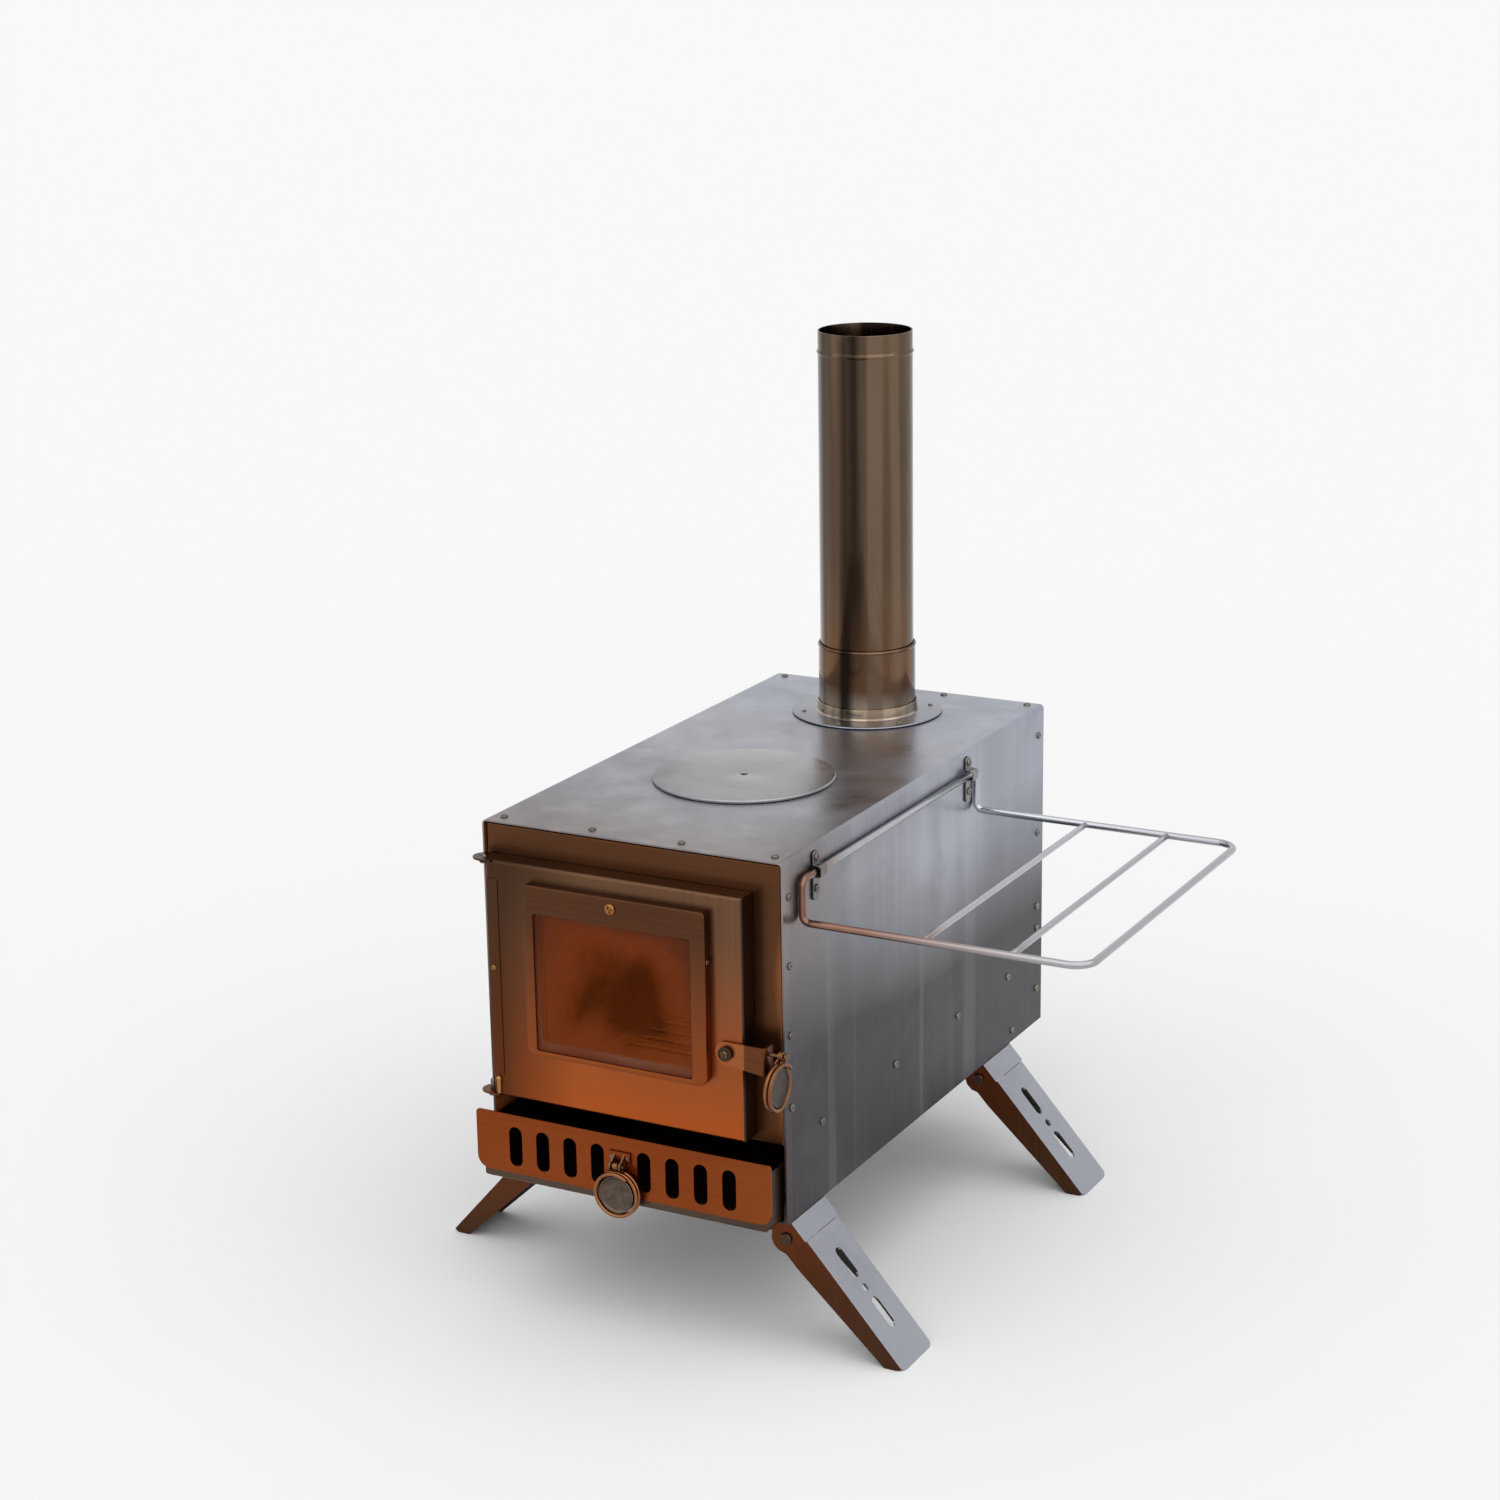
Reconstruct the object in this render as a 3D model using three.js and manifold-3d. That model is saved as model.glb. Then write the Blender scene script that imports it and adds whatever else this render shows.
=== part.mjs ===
// A wood stove for a tent: a folded steel body on four fold-out legs, with a glazed door, an ash drawer,
// a lift-out cooking lid, a flue with its first length of pipe, and a side rack that folds over the top.
// Millimetres. While it is built, X runs to the stove's right, Y to its back from the front edge of the body,
// and Z up from the underside of the body. At the end the origin moves to the ground, under the middle.
import * as THREE from "three";
import { mergeVertices } from "three/addons/utils/BufferGeometryUtils.js";
import Module from "manifold-3d";

const wasm = await Module();
wasm.setup();

// ---- Driving dimensions -----------------------------------------------------------------------------

// Clearances and sheet
const gap = 0.3;
const sheet = 1.2;
const heavySheet = 1.6;
const foldRadius = 2.4;
const arcSteps = 3;
const cornerSteps = 3;

// Body
const bodyWidth = 208;
const bodyDepth = 390;
const bodyHeight = 230;
const panelInset = 1.2;
const flangeDepth = 14;
const frontSillHeight = 50.5;
const bottomFlangeHeight = 12;

// Firebox floor and grate
const floorHeight = 57;
const floorFlange = 14;
const ashOpeningWidth = 110;
const ashOpeningLength = 230;
const ashOpeningMiddle = 185;
const grateMargin = 10;
const grateHeight = 6;
const grateSlotWidth = 6;
const grateSlotPitch = 14;
const grateSlotRows = 2;
const grateRowGap = 12;
const grateRim = 12;

// Cooking lid
const lidRadius = 58.7;
const lidMiddle = 147;
const lidThickness = 2;
const lidHoleRadius = 52;
const lidRimClearance = 1.2;
const lidRimDepth = 5;
const lidLiftHoleRadius = 2.4;

// Flue
const flueFromRear = 64;
const pipeRadius = 31.7;
const pipeWall = 0.8;
const pipeTop = 492;
const pipeBeadDrop = 14;
const pipeBead = 0.9;
const sleeveRadius = 33;
const sleeveWall = 1;
const sleeveHeight = 49;
const sleeveRim = 0.6;
const sleeveRimHeight = 2.2;
const pipeSeatHeight = 9;
const pipeSeatWidth = 1.6;
const flangeRadius = 51.6;
const flangeCollarHeight = 8.6;
const flangeStep = 0.7;
const flueHoleInset = 1;
const flueSides = 32;

// Door, set in from the body's sides and top
const doorLeftInset = 10;
const doorRightInset = 20.5;
const doorBottom = 55.5;
const doorTopInset = 20.5;
const doorFace = 14;
const doorOverlap = 16;
const mouthCorner = 6;
const windowMargin = 3;
const windowCorner = 3;

// Window frame, set in from the door's edges, and its opening, set in from the frame's edges
const frameLeftInset = 30;
const frameRightInset = 21.5;
const frameBottomInset = 34;
const frameTopInset = 10;
const frameDepth = 6;
const frameCorner = 4;
const paneLeftInset = 7;
const paneRightInset = 10;
const paneBottomInset = 3.5;
const paneTopInset = 18;
const paneCorner = 1.5;
const glassThickness = 3;
const gasketWidth = 6;

// Door hinge
const hingeInset = 6;
const hingeForward = 9.2;
const hingePinRadius = 1.9;
const hingeEarRadius = 7.2;
const upperPinRise = 3;
const lowerPinRise = 9;
const hingePinHeadHeight = 1.2;
const hingePinHead = 3.2;
const hingeStripHalf = 3.6;
const hingePlateHeight = 16;
const hingeSides = 14;

// Door latch
const latchPivotInset = 10.5;
const latchPivotHeight = 112;
const latchEndRadius = 7.5;
const latchReach = 26.5;
const latchEndDrop = 11;
const latchEndRise = 7;
const latchTongue = 8;
const latchBoltRadius = 2.5;
const latchBoltHead = 4.6;
const latchBoltHeadHeight = 2.4;
const keeperDrop = 10.5;
const keeperHeight = 8.5;
const keeperFoot = 10;
const keeperPlay = 1;

// Pulls
const pullWire = 2.4;
const pullRadius = 15.2;
const pullPitch = 3;
const pullTurns = 2.1;
const pullSteps = 14;
const pullSides = 7;
const pullDiscThickness = 3.6;
const pullDiscDish = 0.8;
const pullNeck = 4.4;
const pullDiscSides = 24;
const latchPullBack = 5.3;
const latchPullRise = 2;
const latchPullStand = 4.6;
const latchPullLean = THREE.MathUtils.degToRad(16);
const pullPinHead = 2.4;
const pullPinHeadLength = 1.2;
const drawerPullHeight = 29;
const drawerPullForward = 5.2;
const pullEyeRadius = 2.6;
const pullEyePin = 1.2;
const pullEyeWidth = 5;
const eyeLugHeight = 6;
const eyePlateHeight = 8;
const eyePlateDrop = 0.2;
const eyePlateWidth = 15;

// Ash drawer
const drawerOut = 18.5;
const drawerFrontLow = 7.6;
const drawerFrontHigh = 46.6;
const drawerCorner = 8;
const drawerTopCorner = 2.5;
const drawerSlotCount = 4;
const drawerSlotFirst = 16.4;
const drawerSlotMargin = 28.5;
const drawerSlotWidth = 9.4;
const drawerSlotLow = 12.4;
const drawerSlotHigh = 38.8;
const trayHeight = 37;
const trayLength = 330;
const traySideGap = 1.5;

// Legs
const legAngle = THREE.MathUtils.degToRad(48.5);
const legSheet = 1.5;
const bracketWidth = 45;
const legFrontRight = 27.5;
const legRearRight = 312.5;
const groundDrop = 84;
const bracketReach = 14.5;
const bracketDepth = 25;
const pinAlong = 6;
const pinInset = 10;
const legPinRadius = 2.5;
const legPinHead = 4;
const legPinHeadHeight = 1.4;
const earRadius = 10;
const knuckleRadius = 8.4;
const legTopDepth = 18;
const legFootDepth = 8;
const footCorner = 6;
const legSlotWidth = 7;
const legSlotLength = 22;
const upperSlotAlong = 40;
const legHoleAlong = 58.7;
const legHoleRadius = 3;
const lowerSlotAlong = 77;
const legSides = 16;

// Side rack
const rackWire = 4.6;
const rackBarWire = 4;
const rackRodDrop = 15.5;
const rackFront = 20;
const rackRear = 271;
const rackCrank = 26.5;
const rackReach = 181.5;
const rackBend = 5;
const rackCorner = 13;
const rackInnerBar = 78;
const rackOuterBar = 134;
const rackSides = 10;
const bendSteps = 4;
const saddleFront = 41;
const saddleRear = 261.5;
const saddleWidth = 8;
const saddleHeight = 31;
const saddleAboveRod = 12;

// ---- Sizes that follow ------------------------------------------------------------------------------

const halfWidth = bodyWidth / 2;
const innerHalfWidth = halfWidth - sheet - gap;
const innerTop = bodyHeight - sheet - gap;
const rearFace = bodyDepth - panelInset;
const flueMiddle = bodyDepth - flueFromRear;
const panelDepth = flangeDepth + sheet;
const innerFront = panelInset + panelDepth + gap;
const innerRear = rearFace - panelDepth - gap;
const panelCorner = foldRadius + sheet;
const doorLeft = -halfWidth + doorLeftInset;
const doorRight = halfWidth - doorRightInset;
const doorTop = bodyHeight - doorTopInset;
const doorBack = panelInset - 2 * gap;
const frameLeft = doorLeft + frameLeftInset;
const frameRight = doorRight - frameRightInset;
const frameBottom = doorBottom + frameBottomInset;
const frameTop = doorTop - frameTopInset;
const paneLeft = frameLeft + paneLeftInset;
const paneRight = frameRight - paneRightInset;
const paneBottom = frameBottom + paneBottomInset;
const paneTop = frameTop - paneTopInset;
const hingeX = -halfWidth + hingeInset;
const hingeY = panelInset - hingeForward;
const latchPivot = [doorRight - latchPivotInset, latchPivotHeight];
const leverFront = -doorFace - gap - heavySheet;
const leverEnd = latchPivot[0] + latchReach;
const leverLow = latchPivot[1] - latchEndDrop;
const leverHigh = latchPivot[1] + latchEndRise;
const ringRadius = pullRadius - pullWire / 2;
const pullDepth = pullTurns * pullPitch;
const latchPullHole = [leverFront + latchPullBack, latchPivot[1] + latchPullRise];
const rodX = halfWidth + gap + rackWire / 2;
const rodZ = bodyHeight - rackRodDrop;
const rackZ = rodZ - rackCrank;
const frameFace = -doorFace - gap - frameDepth;
const drawerBack = -gap - drawerOut;
const drawerFace = drawerBack - sheet;
const drawerSlotPitch = (halfWidth - drawerSlotMargin - drawerSlotFirst) / (drawerSlotCount - 1);
const legWidth = bracketWidth - 2 * (legSheet + gap);
const legDirection = new THREE.Vector2(Math.cos(legAngle), -Math.sin(legAngle));
const legNormal = new THREE.Vector2(Math.sin(legAngle), Math.cos(legAngle));
const legRearLeft = bodyDepth - legFrontRight;
const legFrontLeft = bodyDepth - legRearRight;

// ---- Colours and finishes ---------------------------------------------------------------------------

function steel(color, roughness) {
  return new THREE.MeshStandardMaterial({ color, roughness, metalness: 1 });
}

const finishes = {
  body: () => steel(0xa9abb0, 0.35),
  front: () => steel(0x7c5a42, 0.38),
  door: () => steel(0x86583a, 0.36),
  drawer: () => steel(0x9a5f36, 0.34),
  lid: () => steel(0x9a9a9c, 0.4),
  flue: () => steel(0x6f6254, 0.18),
  rack: () => steel(0xb4b6ba, 0.22),
  leg: () => steel(0xa4a7ad, 0.36),
  fitting: () => steel(0x8f8578, 0.25),
  ring: () => steel(0xc07a45, 0.28),
  inside: () => steel(0x3c3633, 0.6),
  glass: () =>
    new THREE.MeshStandardMaterial({ color: 0xffe2c4, roughness: 0.05, transparent: true, opacity: 0.35 }),
  gasket: () => new THREE.MeshStandardMaterial({ color: 0x4a4742, roughness: 0.95, metalness: 0 }),
};

// ---- Solids -----------------------------------------------------------------------------------------

function solidOf(geometry) {
  const plain = geometry.index ? geometry.toNonIndexed() : geometry.clone();
  plain.deleteAttribute("normal");
  plain.deleteAttribute("uv");
  const merged = mergeVertices(plain, 1e-4);
  return new wasm.Manifold(
    new wasm.Mesh({
      numProp: 3,
      vertProperties: merged.attributes.position.array,
      triVerts: new Uint32Array(merged.index.array),
    }),
  );
}

function geometryOf(solid) {
  const mesh = solid.getMesh();
  const geometry = new THREE.BufferGeometry();
  geometry.setAttribute("position", new THREE.BufferAttribute(mesh.vertProperties, 3));
  geometry.setIndex(new THREE.BufferAttribute(mesh.triVerts, 1));
  const flat = geometry.toNonIndexed();
  flat.computeVertexNormals();
  return flat;
}

function join(...solids) {
  return solids.reduce((sum, solid) => sum.add(solid));
}

function cut(solid, ...tools) {
  return tools.reduce((rest, tool) => rest.subtract(tool), solid);
}

// A block between two values on each axis.
function block([x0, x1], [y0, y1], [z0, z1]) {
  const geometry = new THREE.BoxGeometry(x1 - x0, y1 - y0, z1 - z0);
  geometry.translate((x0 + x1) / 2, (y0 + y1) / 2, (z0 + z1) / 2);
  return solidOf(geometry);
}

// An outline drawn in one plane and extruded across it: drawn in X and Y and extruded along Z, drawn in X
// and Z and extruded along Y, or drawn in Y and Z and extruded along X.
function extrude(shape, axis, [low, high]) {
  const geometry = new THREE.ExtrudeGeometry(shape, {
    depth: high - low,
    bevelEnabled: false,
    curveSegments: cornerSteps,
  });
  const frame = new THREE.Matrix4();
  if (axis === "x") {
    frame.set(0, 0, 1, low, 1, 0, 0, 0, 0, 1, 0, 0, 0, 0, 0, 1);
  } else if (axis === "y") {
    frame.set(1, 0, 0, 0, 0, 0, -1, high, 0, 1, 0, 0, 0, 0, 0, 1);
  } else {
    frame.makeTranslation(0, 0, low);
  }
  geometry.applyMatrix4(frame);
  return solidOf(geometry);
}

// A round bar along one axis.
function bar(axis, [low, high], [a, b], radius, sides) {
  const outline = new THREE.Shape();
  for (let i = 0; i < sides; i += 1) {
    const turn = (i * 2 * Math.PI) / sides;
    const point = [a + radius * Math.cos(turn), b + radius * Math.sin(turn)];
    if (i === 0) outline.moveTo(...point);
    else outline.lineTo(...point);
  }
  outline.closePath();
  return extrude(outline, axis, [low, high]);
}

// A turned piece on an upright axis. Its profile of [radius, height] pairs closes on itself.
function turned(profile, [x, y], sides) {
  const points = [...profile, profile[0]].map(([radius, height]) => new THREE.Vector2(radius, height));
  const geometry = new THREE.LatheGeometry(points, sides);
  geometry.rotateX(Math.PI / 2);
  geometry.translate(x, y, 0);
  return solidOf(geometry);
}

function roundedRectangle([u0, u1], [v0, v1], radii) {
  const corners = Array.isArray(radii) ? radii : [radii, radii, radii, radii];
  const [lowLeft, lowRight, highRight, highLeft] = corners;
  const shape = new THREE.Shape();
  shape.moveTo(u0 + lowLeft, v0);
  shape.lineTo(u1 - lowRight, v0);
  shape.absarc(u1 - lowRight, v0 + lowRight, lowRight, -Math.PI / 2, 0);
  shape.lineTo(u1, v1 - highRight);
  shape.absarc(u1 - highRight, v1 - highRight, highRight, 0, Math.PI / 2);
  shape.lineTo(u0 + highLeft, v1);
  shape.absarc(u0 + highLeft, v1 - highLeft, highLeft, Math.PI / 2, Math.PI);
  shape.lineTo(u0, v0 + lowLeft);
  shape.absarc(u0 + lowLeft, v0 + lowLeft, lowLeft, Math.PI, 1.5 * Math.PI);
  return shape;
}

// The cross-section of a bent sheet: it follows the middle line through the points, with round bends.
function bentSection(points, thickness, bend) {
  const line = points.map(([u, v]) => new THREE.Vector2(u, v));
  const middle = [];
  line.forEach((corner, i) => {
    if (i === 0 || i === line.length - 1) {
      const step = i === 0 ? line[1].clone().sub(corner) : corner.clone().sub(line[i - 1]);
      middle.push([corner, step.normalize()]);
      return;
    }
    const before = corner.clone().sub(line[i - 1]).normalize();
    const after = line[i + 1].clone().sub(corner).normalize();
    const turn = Math.atan2(before.cross(after), before.dot(after));
    const setback = bend * Math.tan(Math.abs(turn) / 2);
    const start = corner.clone().addScaledVector(before, -setback);
    const side = Math.sign(turn);
    const centre = new THREE.Vector2(start.x - before.y * side * bend, start.y + before.x * side * bend);
    for (let k = 0; k <= arcSteps; k += 1) {
      const swing = (turn * k) / arcSteps;
      const point = start.clone().rotateAround(centre, swing);
      middle.push([point, before.clone().rotateAround(new THREE.Vector2(), swing)]);
    }
  });
  const beside = ([point, step], side) =>
    new THREE.Vector2(point.x + (side * step.y * thickness) / 2, point.y - (side * step.x * thickness) / 2);
  const left = middle.map((place) => beside(place, -1));
  const right = middle.map((place) => beside(place, 1));
  return new THREE.Shape([...right, ...left.reverse()]);
}

// A pressed pan: a flat face with folded edges all round, drawn with its face on the local XY plane and its
// flanges rising along local Z. Its folds are round and its corners may be too.
function pan([x0, x1], [y0, y1], depth, thickness, corner = 0) {
  const lump = (inset, low, radius) => {
    const across = roundedRectangle([x0 + inset, x1 - inset], [low, depth + inset], [radius, radius, 0, 0]);
    const along = roundedRectangle([y0 + inset, y1 - inset], [low, depth + inset], [radius, radius, 0, 0]);
    const ends = [y0 - thickness, y1 + thickness];
    const sides = [x0 - thickness, x1 + thickness];
    const folded = extrude(across, "y", ends).intersect(extrude(along, "x", sides));
    if (corner <= inset) return folded;
    const plan = roundedRectangle([x0 + inset, x1 - inset], [y0 + inset, y1 - inset], corner - inset);
    return folded.intersect(extrude(plan, "z", [low - thickness, depth + 2 * inset + thickness]));
  };
  return cut(lump(0, 0, foldRadius), lump(thickness, thickness, foldRadius - thickness));
}

// Puts a pan that is drawn on the local XY plane upright, with its face to the front or to the back, or turns
// it over so that its flanges hang down.
function upright(solid, face, towards) {
  const turn = new THREE.Matrix4();
  if (towards === "front") turn.set(-1, 0, 0, 0, 0, 0, 1, face, 0, 1, 0, 0, 0, 0, 0, 1);
  else turn.set(1, 0, 0, 0, 0, 0, -1, face, 0, 1, 0, 0, 0, 0, 0, 1);
  return solid.transform(turn.elements);
}

function hungDown(solid, face) {
  const turn = new THREE.Matrix4().set(1, 0, 0, 0, 0, -1, 0, 0, 0, 0, -1, face, 0, 0, 0, 1);
  return solid.transform(turn.elements);
}

// A wire of even thickness along a path.
function wireAlong(curve, diameter, sides, steps) {
  const section = new THREE.Shape();
  for (let i = 0; i < sides; i += 1) {
    const turn = (i * 2 * Math.PI) / sides;
    const point = [(diameter / 2) * Math.cos(turn), (diameter / 2) * Math.sin(turn)];
    if (i === 0) section.moveTo(...point);
    else section.lineTo(...point);
  }
  section.closePath();
  return solidOf(new THREE.ExtrudeGeometry(section, { steps, extrudePath: curve, bevelEnabled: false }));
}

// ---- The part ---------------------------------------------------------------------------------------

const stove = new THREE.Group();

function add(name, solid, finish) {
  const mesh = new THREE.Mesh(geometryOf(solid), finishes[finish]());
  mesh.name = name;
  stove.add(mesh);
  return mesh;
}

// The top and both side walls are one sheet, folded along the two upper edges, with a hole for the lid and
// one for the flue.
function bodyShell() {
  const wall = halfWidth - sheet / 2;
  const path = [
    [-wall, 0],
    [-wall, bodyHeight - sheet / 2],
    [wall, bodyHeight - sheet / 2],
    [wall, 0],
  ];
  const wrap = extrude(bentSection(path, sheet, foldRadius), "y", [0, bodyDepth]);
  const through = [bodyHeight - 2 * sheet, bodyHeight + sheet];
  const lidHole = bar("z", through, [0, lidMiddle], lidHoleRadius, flueSides);
  const flueHole = bar("z", through, [0, flueMiddle], sleeveRadius - sleeveWall - flueHoleInset, flueSides);
  return cut(wrap, lidHole, flueHole);
}

// The front panel stands between the walls, above the drawer, and its mouth is cut behind the door.
function frontPanel() {
  const height = [frontSillHeight, innerTop];
  const width = [-innerHalfWidth, innerHalfWidth];
  const plate = upright(pan(width, height, panelDepth, sheet, panelCorner), panelInset, "front");
  const mouth = roundedRectangle(
    [doorLeft + doorOverlap, doorRight - doorOverlap],
    [doorBottom + doorOverlap / 2, doorTop - doorOverlap],
    mouthCorner,
  );
  return cut(plate, extrude(mouth, "y", [0, panelInset + 2 * sheet]));
}

function rearPanel() {
  const width = [-innerHalfWidth, innerHalfWidth];
  return upright(pan(width, [0, innerTop], panelDepth, sheet, panelCorner), rearFace, "back");
}

function bottomPlate() {
  const wall = innerHalfWidth - sheet / 2;
  const path = [
    [-wall, bottomFlangeHeight],
    [-wall, sheet / 2],
    [wall, sheet / 2],
    [wall, bottomFlangeHeight],
  ];
  return extrude(bentSection(path, sheet, foldRadius), "y", [panelInset, innerRear]);
}

// The firebox floor hangs between the walls on its folded sides, with an opening over the ash drawer.
function fireboxFloor() {
  const wall = innerHalfWidth - sheet / 2;
  const level = floorHeight - sheet / 2;
  const path = [
    [-wall, floorHeight - floorFlange],
    [-wall, level],
    [wall, level],
    [wall, floorHeight - floorFlange],
  ];
  const tray = extrude(bentSection(path, sheet, foldRadius), "y", [innerFront, innerRear]);
  const opening = roundedRectangle(
    [-ashOpeningWidth / 2, ashOpeningWidth / 2],
    [ashOpeningMiddle - ashOpeningLength / 2, ashOpeningMiddle + ashOpeningLength / 2],
    mouthCorner,
  );
  return cut(tray, extrude(opening, "z", [floorHeight - 2 * sheet, floorHeight + sheet]));
}

// The grate is a shallow slotted pan that stands over the opening in the floor.
function fireGrate() {
  const half = [ashOpeningWidth / 2 + grateMargin, ashOpeningLength / 2 + grateMargin];
  const top = floorHeight + gap + grateHeight;
  const plate = hungDown(pan([-half[0], half[0]], [-half[1], half[1]], grateHeight, sheet), top);
  const slotLength = (2 * (half[0] - grateRim) - grateRowGap) / grateSlotRows;
  const count = Math.floor((2 * (half[1] - grateRim)) / grateSlotPitch);
  const slots = [];
  for (let row = 0; row < grateSlotRows; row += 1) {
    const left = -half[0] + grateRim + row * (slotLength + grateRowGap);
    for (let i = 0; i < count; i += 1) {
      const y = (i - (count - 1) / 2) * grateSlotPitch;
      const along = [y - grateSlotWidth / 2, y + grateSlotWidth / 2];
      slots.push(block([left, left + slotLength], along, [top - 2 * sheet, top + sheet]));
    }
  }
  return cut(plate, ...slots).translate([0, ashOpeningMiddle, 0]);
}

function cookingLid() {
  const low = bodyHeight + gap;
  const high = low + lidThickness;
  const rim = lidHoleRadius - lidRimClearance;
  const bevel = lidThickness / 4;
  const profile = [
    [lidLiftHoleRadius, low],
    [rim - sheet, low],
    [rim - sheet, low - lidRimDepth],
    [rim, low - lidRimDepth],
    [rim, low],
    [lidRadius, low],
    [lidRadius, high - bevel],
    [lidRadius - bevel, high],
    [lidLiftHoleRadius, high],
  ];
  return turned(profile, [0, lidMiddle], flueSides);
}

function flueFlange() {
  const low = bodyHeight + gap;
  const inner = sleeveRadius + gap;
  const outer = inner + flangeStep;
  const profile = [
    [inner, low],
    [flangeRadius - sheet / 2, low],
    [flangeRadius, low + sheet / 2],
    [flangeRadius - sheet / 2, low + sheet],
    [outer + sheet, low + sheet],
    [outer, low + 2 * sheet],
    [outer, low + flangeCollarHeight],
    [inner, low + flangeCollarHeight],
  ];
  return turned(profile, [0, flueMiddle], flueSides);
}

function flueSleeve() {
  const low = bodyHeight + gap;
  const high = bodyHeight + sleeveHeight;
  const inner = sleeveRadius - sleeveWall;
  const seat = low + pipeSeatHeight;
  const profile = [
    [inner, low],
    [sleeveRadius, low],
    [sleeveRadius, high - sleeveRimHeight],
    [sleeveRadius + sleeveRim, high - sleeveRimHeight / 2],
    [sleeveRadius, high],
    [inner, high],
    [inner, seat],
    [inner - pipeSeatWidth, seat],
    [inner - pipeSeatWidth, seat - pipeSeatWidth / 2],
    [inner, seat - 2 * pipeSeatWidth],
  ];
  return turned(profile, [0, flueMiddle], flueSides);
}

function fluePipe() {
  const low = bodyHeight + gap + pipeSeatHeight + gap;
  const bead = pipeTop - pipeBeadDrop;
  const inner = pipeRadius - pipeWall;
  const profile = [
    [inner, low],
    [pipeRadius, low],
    [pipeRadius, bead - 2 * pipeBead],
    [pipeRadius + pipeBead, bead],
    [pipeRadius, bead + 2 * pipeBead],
    [pipeRadius, pipeTop],
    [inner, pipeTop],
  ];
  return turned(profile, [0, flueMiddle], flueSides);
}

// ---- Door -------------------------------------------------------------------------------------------

// A round ear that reaches from the door to the hinge pin.
function hingeEar([z0, z1], right) {
  const outline = new THREE.Shape();
  outline.moveTo(hingeX, hingeY - hingeEarRadius);
  outline.lineTo(right, hingeY - hingeEarRadius);
  outline.lineTo(right, hingeY + hingeEarRadius);
  outline.lineTo(hingeX, hingeY + hingeEarRadius);
  outline.absarc(hingeX, hingeY, hingeEarRadius, Math.PI / 2, 1.5 * Math.PI);
  return extrude(outline, "z", [z0, z1]);
}

function hingeBore([z0, z1]) {
  return bar("z", [z0 - sheet, z1 + sheet], [hingeX, hingeY], hingePinRadius + gap, hingeSides);
}

function doorPan() {
  const depth = doorFace + doorBack;
  // The pan is turned about an upright axis, so its left and right change places.
  const pressing = pan([-doorRight, -doorLeft], [doorBottom, doorTop], depth, sheet);
  const pressed = upright(pressing, -doorFace, "front");
  const window = roundedRectangle(
    [paneLeft + windowMargin, paneRight - windowMargin],
    [paneBottom + windowMargin, paneTop - windowMargin],
    windowCorner,
  );
  const opened = cut(pressed, extrude(window, "y", [-doorFace - sheet, -doorFace + 2 * sheet]));
  const reach = doorLeft + 2 * foldRadius;
  const upperEar = [doorTop - sheet, doorTop];
  const lowerEar = [doorBottom, doorBottom + sheet];
  const eared = join(opened, hingeEar(upperEar, reach), hingeEar(lowerEar, reach));
  return cut(eared, hingeBore(upperEar), hingeBore(lowerEar));
}

// A folded bracket on the front panel carries each of the door's ears. Its plate runs down or up from the
// fold.
function hingeBracket(earTop, plateSide) {
  const back = panelInset - gap;
  const level = earTop - sheet / 2;
  const fold = [
    [back - sheet / 2, level + plateSide * hingePlateHeight],
    [back - sheet / 2, level],
    [hingeY - hingeStripHalf, level],
  ];
  const sides = [hingeX - hingeStripHalf, hingeX + hingeStripHalf];
  const folded = extrude(bentSection(fold, sheet, sheet), "x", sides);
  const outline = new THREE.Shape();
  outline.moveTo(sides[1], hingeY);
  outline.lineTo(sides[1], back + sheet);
  outline.lineTo(sides[0], back + sheet);
  outline.lineTo(sides[0], hingeY);
  outline.absarc(hingeX, hingeY, hingeStripHalf, Math.PI, 2 * Math.PI);
  const reach = [earTop - 2 * hingePlateHeight, earTop + 2 * hingePlateHeight];
  return cut(folded.intersect(extrude(outline, "z", reach)), hingeBore([earTop - sheet, earTop]));
}

function hingePin(earTop, rise) {
  const low = earTop - sheet - gap - hingePinHeadHeight;
  const high = earTop + rise;
  const profile = [
    [0, low],
    [hingePinHead, low],
    [hingePinHead, low + hingePinHeadHeight],
    [hingePinRadius, low + hingePinHeadHeight],
    [hingePinRadius, high - hingePinRadius],
    [0, high],
  ];
  const points = profile.map(([radius, height]) => new THREE.Vector2(radius, height));
  const geometry = new THREE.LatheGeometry(points, hingeSides);
  geometry.rotateX(Math.PI / 2);
  geometry.translate(hingeX, hingeY, 0);
  return solidOf(geometry);
}

function windowFrame() {
  const pressed = upright(
    pan([-frameRight, -frameLeft], [frameBottom, frameTop], frameDepth, sheet, frameCorner),
    frameFace,
    "front",
  );
  const opening = roundedRectangle([paneLeft, paneRight], [paneBottom, paneTop], paneCorner);
  return cut(pressed, extrude(opening, "y", [frameFace - sheet, frameFace + 2 * sheet]));
}

function windowGlass() {
  const inset = sheet + 2 * gap;
  const outline = roundedRectangle(
    [frameLeft + inset, frameRight - inset],
    [frameBottom + inset, frameTop - inset],
    frameCorner - sheet,
  );
  const front = frameFace + sheet + gap;
  return extrude(outline, "y", [front, front + glassThickness]);
}

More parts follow.
